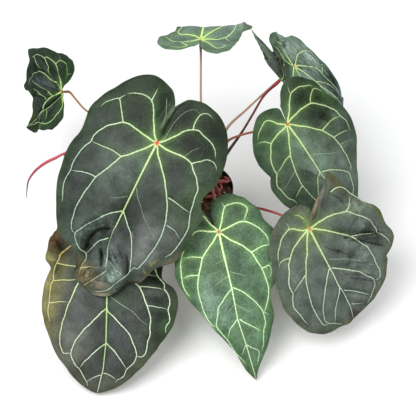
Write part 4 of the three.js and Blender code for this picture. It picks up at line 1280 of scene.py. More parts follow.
FRONT_LOW = Leaf(
    "front_low", "olive_blade", seed=5,
    shape=BladeShape(
        at=(-149, -160, 128), bearing=-98, elevation=62, turn=4,
        midrib=path("0,0 80,2 113,4 153,6 195,4 220,-1 235,-4"),
        left=path("""-18,-3 -38,-10 -56,-22 -66,-40 -68,-58 -60,-74 -48,-86 -38,-92 -30,-94 -27,-98
        -20,-100 -8,-105 7,-107 15,-108 22,-107 28,-102 34,-99 45,-101 53,-103 63,-105 73,-106 97,-106
        107,-105 117,-102 127,-99 145,-90 165,-80 180,-70 193,-58 207,-47 222,-30 232,-13 235,-4"""),
        right=path("""-18,3 -38,8 -56,20 -66,38 -66,56 -56,72 -40,84 -22,90 -4,92 14,92 36,90 43,91 48,95
        52,100 57,108 63,114 72,118 83,120 90,120 103,118 113,116 123,113 133,107 143,101 152,94 160,90
        173,80 190,67 198,58 207,50 222,30 231,10 235,-4"""),
        spine=path("-70,4 0,4 120,0 235,-12"),
        left_bend=path("0,7 50,2 105,-12"),
        right_bend=path("0,7 50,2 120,-12"),
        bumps=rows("0 -92 14 9 20 8; 16 -76 10 16 0 -6; 34 -96 12 14 0 -5; 36 92 14 14 0 -5"),
    ),
    colours=LeafColours(
        Finishes.OLIVE_LEAF, skin="#393d39", margin="#41452f", near="#dce8a8", far="#d6e6c8",
        under="#77704a", eye="#b8622e", glow="#42683a",
        # The near-black patches, in the hollow of the crumpled left lobe and on the right half beneath the
        # large front leaf, are painted shade. The olive, brown and green ones are the leaf's own colour.
        tone_shade_and_sheen_patches=rows("""
        64 -102 110 32 0 #757149 0.9; -14 -92 26 22 0 #49351f 0.9; 0 -80 12 10 0 #0f0a06 0.9;
        120 -46 70 30 0 #4e504e 0.8; 36 -86 16 10 20 #2c2c18 0.7; 130 26 60 22 0 #3d4042 0.7;
        110 96 60 26 0 #222e23 0.75; 38 84 16 16 0 #080b08 0.9; 122 103 18 10 -20 #35502a 0.6;
        66 84 10 18 0 #4e5652 0.6; 80 30 26 20 0 #2f462c 0.5; 216 0 26 30 0 #4b4c46 0.7;
        165 -52 34 24 0 #64665a 0.7
        """),
        vein_patches=rows("""
        50 -90 110 40 0 #c8b66c 0.9; -6 -80 20 16 0 #cc9c52 0.9; 130 5 70 10 0 #9cc465 0.8
        """),
        creases=rows("""
        -16 -102 14 5 30 3.5; -10 -88 12 4 40 -4; 8 -98 12 4 60 -3; 20 -92 10 4 80 2.5; 66 78 7 18 4 2.5;
        80 84 5 20 4 -2.2; 94 88 5 20 0 1.8; 106 92 5 16 0 -1.6; 44 78 7 20 -10 -3; 125 -100 22 5 20 -1.5;
        60 -96 6 16 10 1.6; 78 -96 6 16 0 -1.5; 110 28 22 8 40 1.5; 130 -20 26 9 -30 1.5
        """),
        wrinkles=rows("-10 -96 24 14 40 16 1.8; 34 -92 20 12 10 8 1.2; 90 90 40 14 0 6 0.6"),
    ),
    veins="""
    side 98,4 103,6 110,15 118,24 128,35 140,46 153,52 163,56 172,58 183,54 193,43 205,38 212,28 216,25
    side 98,2 105,-5 113,-12 123,-21 133,-30 143,-38 153,-44 163,-48 172,-50 183,-46 190,-42 196,-35 207,-28
        218,-21 224,-20
    side 153,6 158,12 167,22 178,31 185,37 193,43
    side 155,5 162,-4 173,-15 185,-27 196,-35
    link 202,5 203,12 207,20 212,28
    link 205,1 208,-8 213,-17 218,-22
    main 0,0 22,-20 44,-38 65,-50 73,-53 83,-56 93,-60 103,-63 113,-65 123,-68 133,-69 148,-70 160,-69
        168,-65 173,-62 172,-50
    main 0,0 18,18 36,34 55,48 60,54 68,60 78,64 90,70 103,75 113,77 123,77 138,78 148,75 158,74 168,72
        172,68 172,58
    side 60,54 59,65 60,78 61,88 64,96
    main 0,0 2,26 8,52 18,70 28,78 35,81 40,83 47,90 53,96 62,97 68,102 77,106 87,107 95,105 103,107 113,108
        122,103 133,103
    link 38,65 40,74 40,83
    link 90,70 91,80 93,95 95,105
    faint 77,7 85,18 92,30 98,42 105,52 113,60 120,70 122,75
    main 0,0 -3,-24 -6,-46 -5,-63 0,-70 7,-78 12,-83 20,-85 26,-88 35,-92 45,-92 55,-90 65,-93 77,-94 93,-93
        103,-94 113,-93 125,-89
    side 26,-87 28,-75 30,-60 34,-30
    side 56,-89 55,-78 54,-60 52,-44
    side 93,-93 91,-80 90,-60
    main 0,0 -14,16 -28,28 -38,44 -38,62 -28,76 -14,82
    main 0,0 -14,-14 -30,-26 -42,-42 -44,-58 -36,-72 -24,-82
    """,
)
FRONT_CENTRE = Leaf(
    "front_centre", "green_velvet_blade", seed=7,
    shape=BladeShape(
        at=(32, -155, 170), bearing=-82, elevation=54, turn=9,
        midrib=path("0,0 33,-2 94,-4 145,-8 190,-5 253,-3"),
        left=path("""-13,-7 -30,-13 -43,-19 -50,-26 -53,-36 -50,-48 -40,-60 -25,-70 -8,-77 10,-81 29,-83
        40,-86 50,-88 61,-87 76,-83 94,-77 111,-68 132,-58 152,-49 171,-38 187,-30 201,-24 216,-20 229,-16
        241,-10 253,-3"""),
        right=path("""-13,-3 -24,-4 -36,-3 -45,-1 -51,4 -55,13 -57,20 -57,30 -54,39 -49,46 -43,55 -33,63
        -24,70 -15,75 -3,76 6,81 15,87 30,91 50,90 70,84 88,75 106,65 111,58 118,55 129,53 150,52 160,49
        169,44 180,39 192,33 201,28 211,21 234,5 253,-3"""),
        spine=path("-60,8 0,2 130,-4 250,-16"),
        left_bend=path("0,9 40,6 90,-10"),
        right_bend=path("0,7 40,3 92,-12"),
        bumps=rows("-38 -40 22 20 0 9"),
    ),
    colours=LeafColours(
        Finishes.GREEN_VELVET, skin="#485c4a", margin="#2d4828", near="#dcf2a8", far="#d4ecc6",
        under="#7c9455", eye="#b8643c", glow="#6c985a", glow_reach=230.0, glow_width=4.2,
        # The near-black patch on the left lobe beside the notch is painted shade.
        tone_shade_and_sheen_patches=rows("""
        60 -26 60 26 0 #586c54 0.7; 60 54 50 26 0 #587556 0.7; 20 -66 50 22 0 #2b3f26 0.6;
        160 4 60 30 0 #5c765c 0.7; -22 -24 22 15 40 #0e170d 0.8; 180 -36 40 8 10 #2b4026 0.6;
        -34 40 22 30 0 #44583f 0.6; 110 -50 40 18 -10 #7a9484 0.65; 126 -28 30 16 -6 #6e877a 0.45
        """),
    ),
    veins="""
    main 0,0 16,13 24,23 35,34 46,42 61,47 75,52 94,54 110,54 124,49 139,41 145,37
    main 0,0 16,-17 25,-28 33,-37 45,-44 59,-51 75,-57 94,-59 111,-59 129,-56 144,-50 145,-45
    main 0,0 -3,18 -6,32 -6,44 1,55 8,62 17,69 27,74 35,75 42,73
    side 46,42 42,58 42,73 52,77 64,74 75,65
    main 0,0 -10,6 -20,11 -31,16 -37,21 -39,30 -38,41 -34,49 -25,55 -16,51 -6,44
    link -37,21 -48,16
    main 0,0 -5,-16 -9,-28 -9,-40 -3,-50 6,-58 14,-64 22,-69 36,-75 48,-78 58,-79 68,-80 80,-78 88,-74
    main 0,0 -10,-6 -20,-12 -31,-18 -38,-27 -40,-38 -34,-48 -24,-56 -10,-62
    side 33,-37 28,-53 26,-68
    side 59,-51 56,-65 58,-79
    side 75,52 75,58 74,65 84,66 94,61
    side 93,-2 103,11 117,22 131,30 143,35 155,35 166,33 174,28 187,25 197,22 204,17
    link 145,37 152,44
    side 95,-5 101,-14 110,-24 118,-34 131,-39 145,-45 159,-40 174,-33 188,-28 197,-25 208,-19 220,-14
    side 146,-5 155,4 164,14 174,25
    side 145,-9 151,-17 159,-26 171,-31
    link 190,-4 197,4 204,12 216,9 228,4
    link 190,-6 197,-12 206,-17
    faint 73,-5 80,-23 87,-37
    faint 67,0 76,16 84,30
    faint 46,-5 48,-15 49,-25
    faint 120,-8 128,-18 134,-28
    faint 120,-6 130,6 140,16
    """,
)
RIGHT_LOW = Leaf(
    "right_low", "dark_velvet_blade", seed=11,
    shape=BladeShape(
        at=(182, -139, 158), bearing=-65, elevation=54, turn=11,
        midrib=path("0,0 30,-2 70,-3 108,-4 130,-2 150,-2 172,-6"),
        left=path("""-8,6.5 -20,18 -27,20 -32,18 -38,13 -44,2 -45,-13 -43,-28 -37,-43 -29,-58 -18,-70
        -5,-80 7,-85 17,-88 27,-93 47,-99 72,-104 90,-107 110,-103 122,-100 138,-93 147,-87 153,-80
        162,-67 167,-50 168,-40 170,-30 173,-22 174,-14 172,-6"""),
        right=path("""-8,6 -20,16 -31,31 -42,47 -52,61 -60,71 -65,76 -55,82 -38,88 -22,94 -7,99 8,106
        16,113 23,120 32,125 40,127 62,124 75,127 82,127 88,125 93,120 97,113 99,107 103,100 107,94 112,94
        127,85 136,78 148,62 158,43 165,23 172,-6"""),
        spine=path("-50,8 0,2 100,-6 175,-20"),
        left_bend=path("0,6 50,2 105,-16"),
        right_bend=path("0,7 50,4 125,-8"),
        bumps=rows("""
        -44 68 22 26 0 13; -14 84 10 26 20 -6; 84 38 8 52 28 -5; 96 30 7 50 28 4; 62 86 7 34 24 -5;
        48 74 6 30 22 4; 118 30 8 34 30 -4; 100 106 12 12 0 5
        """),
    ),
    colours=LeafColours(
        Finishes.DARK_VELVET, skin="#505953", margin="#4b4f3a", near="#c0d48a", far="#b8cab4",
        under="#7c7450", eye="#c06a30", glow="#7d9a4a", glow_reach=36.0, glow_width=6.0,
        lap=(-1, 1.2, 20.0),
        # The near-black slit at the sinus is painted shade, and the pale grey band beside the tan line of the
        # folded lobe edge is painted highlight on the fold. The tan line and the olive and brown patches are
        # the leaf's own colour.
        tone_shade_and_sheen_patches=rows("""
        -14 19 13 3 130 #0c0a07 0.9; -40 41 30 1.5 137.5 #a88260 0.85; -36 52 24 8 132 #5e6258 0.7;
        -44 76 18 8 10 #544c2c 0.7; 36 124 34 8 10 #535c30 0.7; 50 -66 60 40 0 #505a52 0.7;
        10 84 34 14 80 #6e7c6c 0.8; 74 84 26 20 20 #454c48 0.6; 30 60 26 16 30 #404944 0.6;
        166 -4 12 12 0 #38322b 0.6; 110 20 50 20 30 #545856 0.5; 96 58 30 22 20 #667068 0.7;
        174 -24 3 2 0 #9a7638 0.8
        """),
        creases=rows("""
        36 52 22 4.5 52 -4; 52 78 20 4 62 -3.5; 72 90 20 4 58 -4; 81 92 16 3.5 60 -3.5; 58 24 10 5 70 -2.5;
        78 42 14 4 60 -2.5; 92 32 34 5 54 -3; 104 40 30 5 54 2.2; 66 60 26 6 56 2.5; 132 20 26 4 52 -2.5;
        157 20 18 4 56 -2; 144 22 22 5 54 1.6; -34 44 30 4 128 3; -26 52 30 5 128 -3; 18 96 20 5 84 2.5;
        4 80 18 5 80 -2; 98 -72 9 5 20 -1.2; 22 62 18 6 60 2; 110 -30 30 12 -30 1.2; 60 -72 26 12 -40 1.4
        """),
        wrinkles=rows("74 44 34 22 56 14 0.8; 4 84 26 16 80 10 1.2; 60 92 22 20 60 10 1.5"),
        cracks=rows("""
        1.3 2.8 44 44 47 56 53 76 62 94 70 106; 1.3 2.6 52 52 64 70 77 84 90 98; 1.2 1.6 40 8 50 16 58 26;
        1.2 1.5 84 28 90 44 102 59; 1.2 1.5 56 24 68 32; 1.2 1.5 106 20 119 37 132 54;
        1.1 1.4 -50 64 -34 50 -20 38; 1.2 1.4 36 60 30 70 26 84; 1.1 1.3 96 16 108 34 124 58;
        1.2 1.8 -6 76 -16 72 -26 64
        """),
    ),
    veins="""
    main 0,0 5,-7 15,-15 28,-23 40,-33 53,-42 65,-50 77,-55 90,-59 100,-61 113,-64 125,-64 138,-63 148,-61
        152,-52
    main 0,0 3,-15 8,-30 12,-40 18,-50 24,-57 33,-65 43,-70 53,-77 63,-82 75,-82 83,-87 92,-91 103,-91
        112,-88 125,-86 133,-83
    side 60,-48 64,-58 69,-70 75,-81
    side 23,-57 20,-67 22,-76 28,-81
    main 0,0 -3,-10 -8,-18 -14,-25 -17,-32 -15,-40 -11,-50 -3,-60 3,-67 12,-73 20,-77
    link -17,-32 -24,-30 -31,-31
    side 0,0 -8,0 -18,0 -27,-4 -33,-12
    main 0,0 5,8 12,17 20,27 30,38 42,50 50,57 60,63 75,71 87,73 97,74 108,72 120,72 128,69 132,66 132,56
    main 0,0 0,10 -1,20 -1,35 1,50 5,60 8,70 15,77 23,85 30,92 38,97 48,102 58,104 65,102 73,107 82,111
        88,112 95,110
    side 8,70 3,80 -5,87 -12,93
    side -33,62 -34,72 -30,84 -22,92 -13,96 -5,100 3,103 15,107 20,108
    side 48,57 52,70 58,82 63,92 65,101
    faint 60,3 67,15 75,30 87,44 98,55 107,65 109,71
    side 75,0 82,10 90,20 98,30 107,40 118,47 127,54 132,55 140,52 148,43 152,38 158,30 162,26
    side 72,-3 80,-12 90,-22 103,-33 113,-41 123,-48 133,-53 145,-55 152,-50 157,-42 163,-35 167,-28
    side 118,0 125,9 133,20 143,30 150,38
    side 110,-4 120,-13 130,-23 143,-33 157,-40
    link 147,2 153,13 158,22
    """,
)
RIGHT_MID = Leaf(
    "right_mid", "dark_velvet_blade", seed=13,
    shape=BladeShape(
        at=(152, 43, 220), bearing=-62, elevation=54, turn=14,
        midrib=path("0,0 33,1 73,0 108,-1 140,1 170,4 204,8"),
        left=path("""-12,2.3 -28,5.4 -34,2 -38,-5 -42,-22 -42,-32 -40,-40 -32,-53 -20,-66 -4,-78 5,-83
        15,-86 27,-88 38,-87 48,-85 56,-83 61,-87 67,-91 73,-94 88,-94 107,-91 117,-87 132,-79 148,-66
        163,-51 178,-34 192,-14 204,8"""),
        right=path("""-12,3.5 -28,8 -33,9.5 -38,14 -45,19 -53,26 -62,41 -63,50 -60,64 -48,78 -35,88 -27,92
        -8,94 5,100 23,107 45,109 65,107 85,98 97,90 108,80 132,63 143,57 155,50 173,38 190,29 204,8"""),
        spine=path("-60,8 0,2 100,-4 204,-16"),
        left_bend=path("0,7 45,3 95,-12"),
        right_bend=path("0,8 50,3 110,-14"),
        bumps=rows("28 66 10 20 0 -4; 58 -88 12 12 0 -4"),
    ),
    colours=LeafColours(
        Finishes.DARK_VELVET, skin="#3d4b3e", margin="#33492f", near="#c6dc8a", far="#b4cca6",
        under="#6b744c", eye="#b8502c", glow="#6c9054", glow_reach=60.0, glow_width=5.0,
        # The pale grey patches along the midrib, from the stalk outwards, are painted sheen.
        tone_shade_and_sheen_patches=rows("""
        80 0 70 30 0 #6d8170 0.8; 0 -50 50 36 0 #3e573a 0.6; -12 64 46 42 0 #131d0f 0.95;
        75 84 46 26 0 #444e48 0.7; 130 44 50 24 0 #5a635e 0.7; 96 -26 40 16 -20 #364634 0.6;
        150 -24 40 20 -10 #48554c 0.6; 8 -6 30 8 60 #7c8c80 0.4; 30 68 12 7 20 #141a13 0.6;
        100 -10 24 5 30 #626c66 0.5; -4 90 26 10 20 #3c552c 0.6
        """),
        creases=rows("""
        96 -16 26 4 30 -2; 104 -8 26 4 30 2; 30 66 14 5 20 -3; 12 60 16 6 30 2.5; 60 70 5 20 8 1.6;
        74 72 5 18 8 -1.5; 90 68 5 16 0 1.5; -20 60 16 5 -60 1.6; -24 50 14 5 -60 -1.6; 120 40 30 8 -10 1.8;
        140 16 26 8 10 -1.6; 20 -64 18 6 60 1.5
        """),
        wrinkles=rows("30 66 20 14 20 6 1.0; 110 -14 26 10 30 4 0.8"),
        cracks=rows("1.2 1.6 22 56 30 64 40 68; 1.2 1.6 84 -22 100 -12 116 -2; 1.1 1.4 16 76 24 84 32 88"),
    ),
    veins="""
    main 0,0 5,-5 15,-10 27,-18 37,-25 45,-30 55,-34 65,-38 77,-41 88,-43 98,-44 108,-43 118,-42 130,-39
        138,-36 146,-26 156,-22
    main 0,0 2,-12 4,-30 8,-42 12,-50 20,-57 30,-64 38,-68 50,-71 57,-71 65,-77 75,-82 87,-81 95,-80 105,-77
        113,-72 120,-71
    side 45,-30 47,-42 52,-56 57,-70
    side 100,-44 103,-55 110,-68
    faint 72,-40 78,-56 87,-80
    side 9,-48 0,-57 -3,-65 -2,-70
    main 0,0 -5,-8 -12,-15 -20,-20 -26,-28 -25,-38 -20,-48 -15,-57 -8,-64
    main 0,0 5,7 13,15 22,25 32,34 40,42 47,47 55,51 65,55 77,57 85,58 95,57 105,57 117,55 127,52 132,47
    main 0,0 -3,7 -5,20 -7,32 -7,42 -6,55 -3,62 5,70 13,78 20,84 28,89 35,91 43,91 50,94 58,95 65,94 75,91
    side -6,57 -13,63 -20,72 -23,80 -18,86 -10,91
    main 0,0 -8,8 -17,17 -27,25 -35,33 -40,40 -41,52 -40,60 -36,68 -32,77 -27,80
    link -42,38 -48,40 -55,43
    side 44,46 41,58 40,70 41,82 43,90
    side 66,55 66,65 68,78 71,90
    faint 83,60 86,75 90,85
    faint 67,2 73,15 80,27 88,40 93,52
    side 102,2 106,12 113,25 122,35 132,43 140,41 150,39 160,36 168,30 178,30
    side 100,-1 108,-12 118,-20 130,-28 138,-36
    side 140,1 148,10 156,22 168,30
    side 138,1 148,-8 156,-16 166,-22
    """,
)
TOP_RIGHT = Leaf(
    "top_right", "dark_velvet_blade", seed=17, kink=0.3, slimness=1.2,
    shape=BladeShape(
        at=(167, 151, 258), bearing=0, elevation=46, turn=-4,
        midrib=path("0,0 25,8 55,11 70,10 95,14 120,22 148,31 180,40"),
        left=path("""-14,-2 -32,-4 -29,-11 -21,-21 -14,-31 -8,-40 -1,-49 10,-55 24,-58 42,-58 62,-54
        85,-46 108,-34 130,-18 150,0 166,18 180,40"""),
        right=path("""-11,-6 -17,-11 -25,-14 -36,-13 -47,-12 -57,-11 -66,-6 -71,3 -71,12 -68,23 -62,33
        -55,42 -46,49 -36,53 -28,57 -21,64 -14,74 -7,85 1,96 12,105 27,109 46,107 63,101 80,95 98,90
        115,85 134,80 152,71 166,59 180,40"""),
        spine=path("-70,-8 0,0 90,0 172,-34"),
        left_bend=path("0,0 16,-14 36,-44 60,-58"),
        right_bend=path("0,2 40,2 90,-12"),
        bumps=rows("-50 20 16 22 0 6"),
    ),
    colours=LeafColours(
        # The pale grey-green skin is the dark velvet's own tone, lightened with painted sheen.
        Finishes.FOLDED_VELVET, skin="#7f9489", margin="#4f6a4a", near="#d2e69a", far="#c6dab6",
        under="#6b744c", eye="#a57c34", glow="#587c40",
        # The pale grey and teal patches are painted sheen and highlight, and the dark strip along the folded
        # right half is painted shade.
        tone_shade_and_sheen_patches=rows("""
        150 40 24 22 0 #64787a 0.7; 10 66 60 30 0 #7c8e80 0.7; -30 30 24 22 0 #96a89e 0.8;
        -40 -4 34 10 0 #334232 0.7; -56 10 20 24 0 #3a4a3e 0.8; 114 52 48 40 -10 #1e2826 0.9;
        32 44 34 26 0 #8c9e95 0.7; 60 -30 70 26 0 #2a3a30 0.6; -18 -20 14 20 0 #26342a 0.8;
        -34 36 12 20 60 #9aa89e 0.5; 150 62 26 14 30 #7e9496 0.6; 70 26 40 16 0 #4c5854 0.6;
        14 18 16 8 40 #1e261c 0.6; 110 34 30 12 10 #323e3a 0.6
        """),
        creases=rows("""
        40 66 40 5 4 3.2; 60 78 40 4 -4 -3.4; 90 60 40 5 -6 3; 120 60 26 5 0 -3; 20 42 30 3.5 60 -2.4;
        -16 48 24 3.5 76 2.4; 40 40 44 3.5 12 -2.6; -52 8 16 3.5 80 -3; -60 14 14 3 84 3; -40 30 20 5 70 2.2;
        -28 34 20 5 70 -2; 150 48 18 5 30 2
        """),
        wrinkles=rows("150 50 34 26 20 14 1.8; -30 30 26 22 60 10 1.2; 60 50 60 40 0 8 0.8"),
        cracks=rows("""
        1.8 3.0 40 90 58 86 77 78 96 68 119 60; 1.4 2.0 11 51 33 54 55 50 77 41 100 28;
        1.4 2.0 -35 40 -22 25 -11 13; 1.2 1.6 16 10 49 31 77 30 100 17; 1.3 1.8 110 52 128 56 150 50;
        1.3 1.8 -44 24 -30 30 -20 40
        """),
    ),
    veins="""
    main 0,0 8,9 15,16 22,22 30,28 40,37 50,45 58,50 70,51 82,49 95,47 112,48 130,50 146,46
    side 78,52 76,60 77,70 80,80 88,86
    main 0,0 4,10 6,20 8,32 10,42 14,50 22,62 30,73 38,84 48,92 60,88 74,82
    side 8,48 0,52 -8,57 -14,62
    main 0,0 -10,5 -20,12 -27,17 -32,22 -33,30 -33,37 -30,45 -25,53
    side -32,22 -42,18 -52,16 -60,18
    side 0,0 -12,-4 -25,-5 -38,-2 -50,2 -61,7
    main 0,0 12,-6 26,-14 44,-20 62,-24 80,-22 98,-14 112,-4
    main 0,0 0,-10 2,-22 8,-34 18,-44 32,-47
    side 70,10 84,2 98,-6 112,-4 126,6
    side 60,11 74,22 90,32 106,38 122,42 140,44
    side 112,19 122,10 134,12
    """,
)
TOP_FOLDED = Leaf(
    "top_folded", "dark_velvet_blade", seed=19,
    shape=BladeShape(
        at=(146, 148, 229), bearing=19, elevation=40, turn=90,
        midrib=path("0,0 50,-1 100,-2 150,0"),
        left=path("""-4,-3 -8,-8 -5,-13 8,-16 26,-18 42,-26 56,-42 70,-57 86,-67 105,-68 120,-62 128,-54
        133,-45 136,-34 140,-22 145,-12 150,0"""),
        right=path("""-14,3 -28,6 -40,14 -46,28 -44,43 -36,55 -24,63 -8,66 10,64 30,59 60,50 85,41 108,30
        128,18 142,8 150,0"""),
        spine=path("-50,0 150,0"),
        left_bend=path("0,0 70,-6"),
        right_bend=path("0,11 60,12"),
        bumps=rows("2 50 18 22 0 -4"),
        folds=rows("-3 0 176 5 158 1"),
    ),
    colours=LeafColours(
        Finishes.FOLDED_VELVET, skin="#3f483f", margin="#4a462f", near="#b6d27a", far="#a2c09a",
        under="#56645e", eye="#a57c34", margin_width=6.0,
        # The large pale grey patch over the right half is painted sheen. The brown and tan ones along the
        # edges are the leaf's own colour.
        tone_shade_and_sheen_patches=rows("""
        70 -50 60 12 0 #54402a 0.6; -8 30 34 26 0 #2c3a30 0.7; 84 20 90 52 0 #86988c 0.9;
        26 60 44 8 -12 #8a7744 0.95; 76 45 50 3 -22 #5c5836 0.7
        """),
    ),
    veins="""
    main 0,0 8,8 22,18 38,26 56,32 74,32 92,26 108,16
    main 0,0 0,14 2,28 10,40 22,48 38,48 52,44
    main 0,0 -10,10 -20,20 -28,32 -28,46 -18,54
    main 0,0 16,-5 32,-12 48,-22 66,-34 84,-42 100,-42 114,-36 126,-24
    side 56,-1 70,-10 86,-18 104,-22 122,-18
    side 62,-1 76,8 92,14 108,14
    side 100,-2 112,-10 126,-10
    """,
)
BACK = Leaf(
    "back", "green_velvet_blade", seed=23,
    shape=BladeShape(
        at=(2, 141, 328), bearing=84, elevation=80, turn=0,
        midrib=path("0,0 30,-1 70,0 100,0"),
        left=path("""-14,-1 -22,-1.5 -30,-3 -38,-7 -45,-12 -52,-18 -57,-25 -60,-33 -58,-42 -53,-50 -45,-56
        -35,-60 -25,-64 -12,-67 0,-69 10,-72 14,-79 16,-86 22,-88 27,-84 31,-76 45,-66 60,-58 78,-44
        90,-26 97,-12 100,0"""),
        right=path("""-14,1.5 -22,3 -32,12 -40,18 -48,25 -52,32 -54,40 -54,47 -50,55 -45,62 -38,67 -30,70
        -20,72 -10,72 -3,70 2,60 12,52 23,46 35,46 52,42 70,34 84,22 95,10 100,0"""),
        spine=path("-90,-8 -10,-4 5,12 27,10 38,-36 60,-42 150,-46"),
        left_bend=path("0,6 40,8 60,13 90,16"),
        right_bend=path("0,5 40,2 90,-12"),
        bumps=rows("30 50 20 24 0 -7"),
    ),
    colours=LeafColours(
        Finishes.GREEN_VELVET, skin="#586960", margin="#50694a", near="#cce48e", far="#bcd4ae",
        under="#7d7a4c", eye="#adb850", glow="#7ba552", glow_reach=40.0,
        tone_shade_and_sheen_patches=rows("""
        31 -73 12 5 0 #3c3119 0.95; 22 -83 8 5 0 #486440 0.8; 0 -40 30 24 0 #5a6e66 0.5;
        30 20 30 30 0 #586c64 0.5; 44 -58 26 22 0 #6f8478 0.6
        """),
        creases=rows("31 -72 14 4 0 3; -30 -44 18 5 60 1.8; -28 40 18 5 -60 1.8; -10 30 16 6 0 -1.5"),
    ),
    veins="""
    main 0,0 3,-4 10,-9 17,-15 23,-22 28,-29 34,-36 42,-40 60,-42 74,-36
    main 0,0 -1,-8 -1,-15 -3,-25 -3,-31 0,-38 2,-43 8,-49 14,-53 22,-56 30,-57 42,-56
    link 0,-43 -6,-46 -12,-50 -16,-54 -17,-58
    main 0,0 -5,-5 -12,-12 -20,-18 -28,-23 -34,-28 -38,-31 -37,-40 -33,-45 -28,-50
    main 0,0 3,5 7,12 8,20 9,28 8,35 11,40 17,41 25,38 36,36 50,34
    main 0,0 -4,5 -10,12 -14,20 -18,27 -20,33 -20,42 -18,48 -13,52 -7,57 -3,61
    side -20,33 -30,20 -36,25 -41,32 -41,40 -38,48
    faint -35,60 -30,63 -25,65
    side 34,-1 44,10 56,18 70,22
    side 36,-1 46,-12 58,-20 72,-22
    """,
)
LEFT = Leaf(
    "left", "dark_velvet_blade", seed=29, kink=0.2, slimness=0.72,
    shape=BladeShape(
        at=(-239, 87, 256), bearing=216, elevation=30, turn=-43.6,
        midrib=path("0,0 20,0 40,3 56,7 76,17 96,26 120,31 146,33"),
        left=path("""-2,-3 -8,-8 -15,-10 -25,-13 -33,-17 -40,-22 -45,-28 -47,-34 -45,-41 -38,-48 -20,-62
        -3,-68 5,-73 25,-84 38,-89 52,-92 65,-95 78,-99 90,-102 109,-104 110,-96 109,-88 111,-81 115,-71
        117,-60 118,-50 129,-42 123,-33 111,-27 108,-20 109,-12 113,-3 114,9 119,19 128,25 136,30 146,33"""),
        right=path("""-4,6 -9,18 -13,28 -14,38 -13,48 -8,54 0,59 10,63 20,65 32,62 45,61 58,57 68,54 77,57
        88,56 100,52 115,46 128,41 146,33"""),
        spine=path("-100,-8 0,2 60,-6 150,-14"),
        left_bend=path("0,2 50,0 100,-10"),
        right_bend=path("0,20 40,16 100,-10"),
        bumps=rows("100 -78 12 14 0 -6; 104 0 16 20 0 -8"),
    ),
    colours=LeafColours(
        Finishes.FOLDED_VELVET, skin="#2f3532", margin="#2f402b", near="#b2cc78", far="#a0be92",
        under="#6a6b3a", eye="#a05a32", glow="#466c32", glow_reach=40.0,
        # The near-black stripe on the right half is painted shade in a fold.
        tone_shade_and_sheen_patches=rows("""
        136 30 30 22 0 #3d4a1f 0.95; 144 27 12 5 30 #767a3c 0.8; 62 52 5 2 60 #b9b48a 0.8;
        100 44 44 5 -18 #332f1b 0.8; 40 50 50 16 0 #2b3a2a 0.6; -30 -30 26 24 0 #22351d 0.6;
        60 -60 50 16 10 #252a25 0.6; 46 -26 40 14 -20 #434849 0.7; 52 20 50 6 10 #0c0f0c 0.8
        """),
        wrinkles=rows("60 -50 50 20 -40 6 0.9; 100 40 40 20 0 6 1.0"),
        cracks=rows("""
        1.5 2.6 96 -79 40 -45 9 -9; 1.3 2.0 100 -55 55 -27 10 -4; 1.4 2.2 105 -19 52 -3 10 2;
        1.6 2.8 88 17 41 13 4 5; 1.3 2.0 44 42 17 26 0 8; 1.3 2.2 52 -79 23 -44 3 -7
        """),
        creases=rows("""
        44 14 44 4.5 10 -5; 44 26 40 5 10 3; 56 -28 40 5 -24 3; 50 -14 44 4 -18 -3.5; 30 -48 34 5 -50 3;
        18 -44 34 4 -52 -3.5; 60 -62 36 5 -40 2.6; 74 -56 34 4 -40 -3; 82 -72 30 4 -48 -2.5;
        -16 -34 26 4 64 -3; -6 -38 26 4 66 2.4; 46 44 36 4 8 2; 70 40 34 4 -4 -2.5; 88 -6 22 4 20 2.5;
        96 -16 20 4 10 -2.5
        """),
    ),
    veins="""
    main 0,0 -1,-8 -1,-20 0,-30 2,-40 5,-50 10,-56 18,-62 27,-68 32,-70 38,-70 45,-75 55,-80 65,-84 78,-84
        88,-86 93,-88
    side 38,-70 33,-60 28,-50 25,-40 23,-32
    side 78,-84 70,-75 62,-66 55,-58 48,-52
    main 0,0 5,-10 10,-19 20,-23 28,-30 35,-37 42,-43 52,-48 62,-52 75,-53 83,-53 90,-50 98,-46 104,-43
        108,-38
    side 5,-50 -4,-53 -10,-53 -17,-49 -22,-42 -24,-35 -22,-26 -20,-22
    link -24,-25 -30,-24 -35,-24
    link -10,-53 -9,-60 -5,-64
    side 30,0 45,-12 60,-22 75,-32 90,-42
    side 50,1 62,-8 75,-17 88,-25 96,-29
    main 0,0 3,6 10,11 20,17 30,22 40,23 50,25 62,27 68,33
    side 37,24 38,30 42,38 47,46
    main 0,2 -8,24 -5,32 0,38 5,40 12,45 22,49 35,50 45,49 52,46 60,45 70,41 78,38 90,36 105,36 120,34
        132,34
    side 50,6 62,11 75,18 90,24 98,27
    link 68,33 74,36 78,38
    """,
)

LEAVES = (FRONT_LARGE, FRONT_LOW, FRONT_CENTRE, RIGHT_LOW, RIGHT_MID, TOP_RIGHT, TOP_FOLDED, BACK, LEFT)


# Stalks, spike, crown and roots


def crown_beside(height: float, room: float, bearing: float) -> np.ndarray:
    """Gives the point at a height, a distance and a bearing from the crown's leaning axis.

    Args:
        height: Its height.
        room: Distance from the axis.
        bearing: Bearing in degrees.

    Returns:
        The point in millimetres.
    """
    lean = max(height - 100, 0) / 44
    angle = math.radians(bearing)
    return np.array([12 + 2 * lean + room * math.cos(angle), 5 + 3 * lean + room * math.sin(angle), height])


def ramp(stops: tuple, t: np.ndarray) -> np.ndarray:
    """Gives linear colours along a run of (place, hex colour) stops.

    Args:
        stops: Places from 0 to 1 with their hex colours.
        t: The shares.

    Returns:
        A linear colour for each share, one row each.
    """
    places = [place for place, _ in stops]
    colours = np.array([rgb(colour) for _, colour in stops])
    return np.column_stack([np.interp(t, places, colours[:, k]) for k in range(3)])


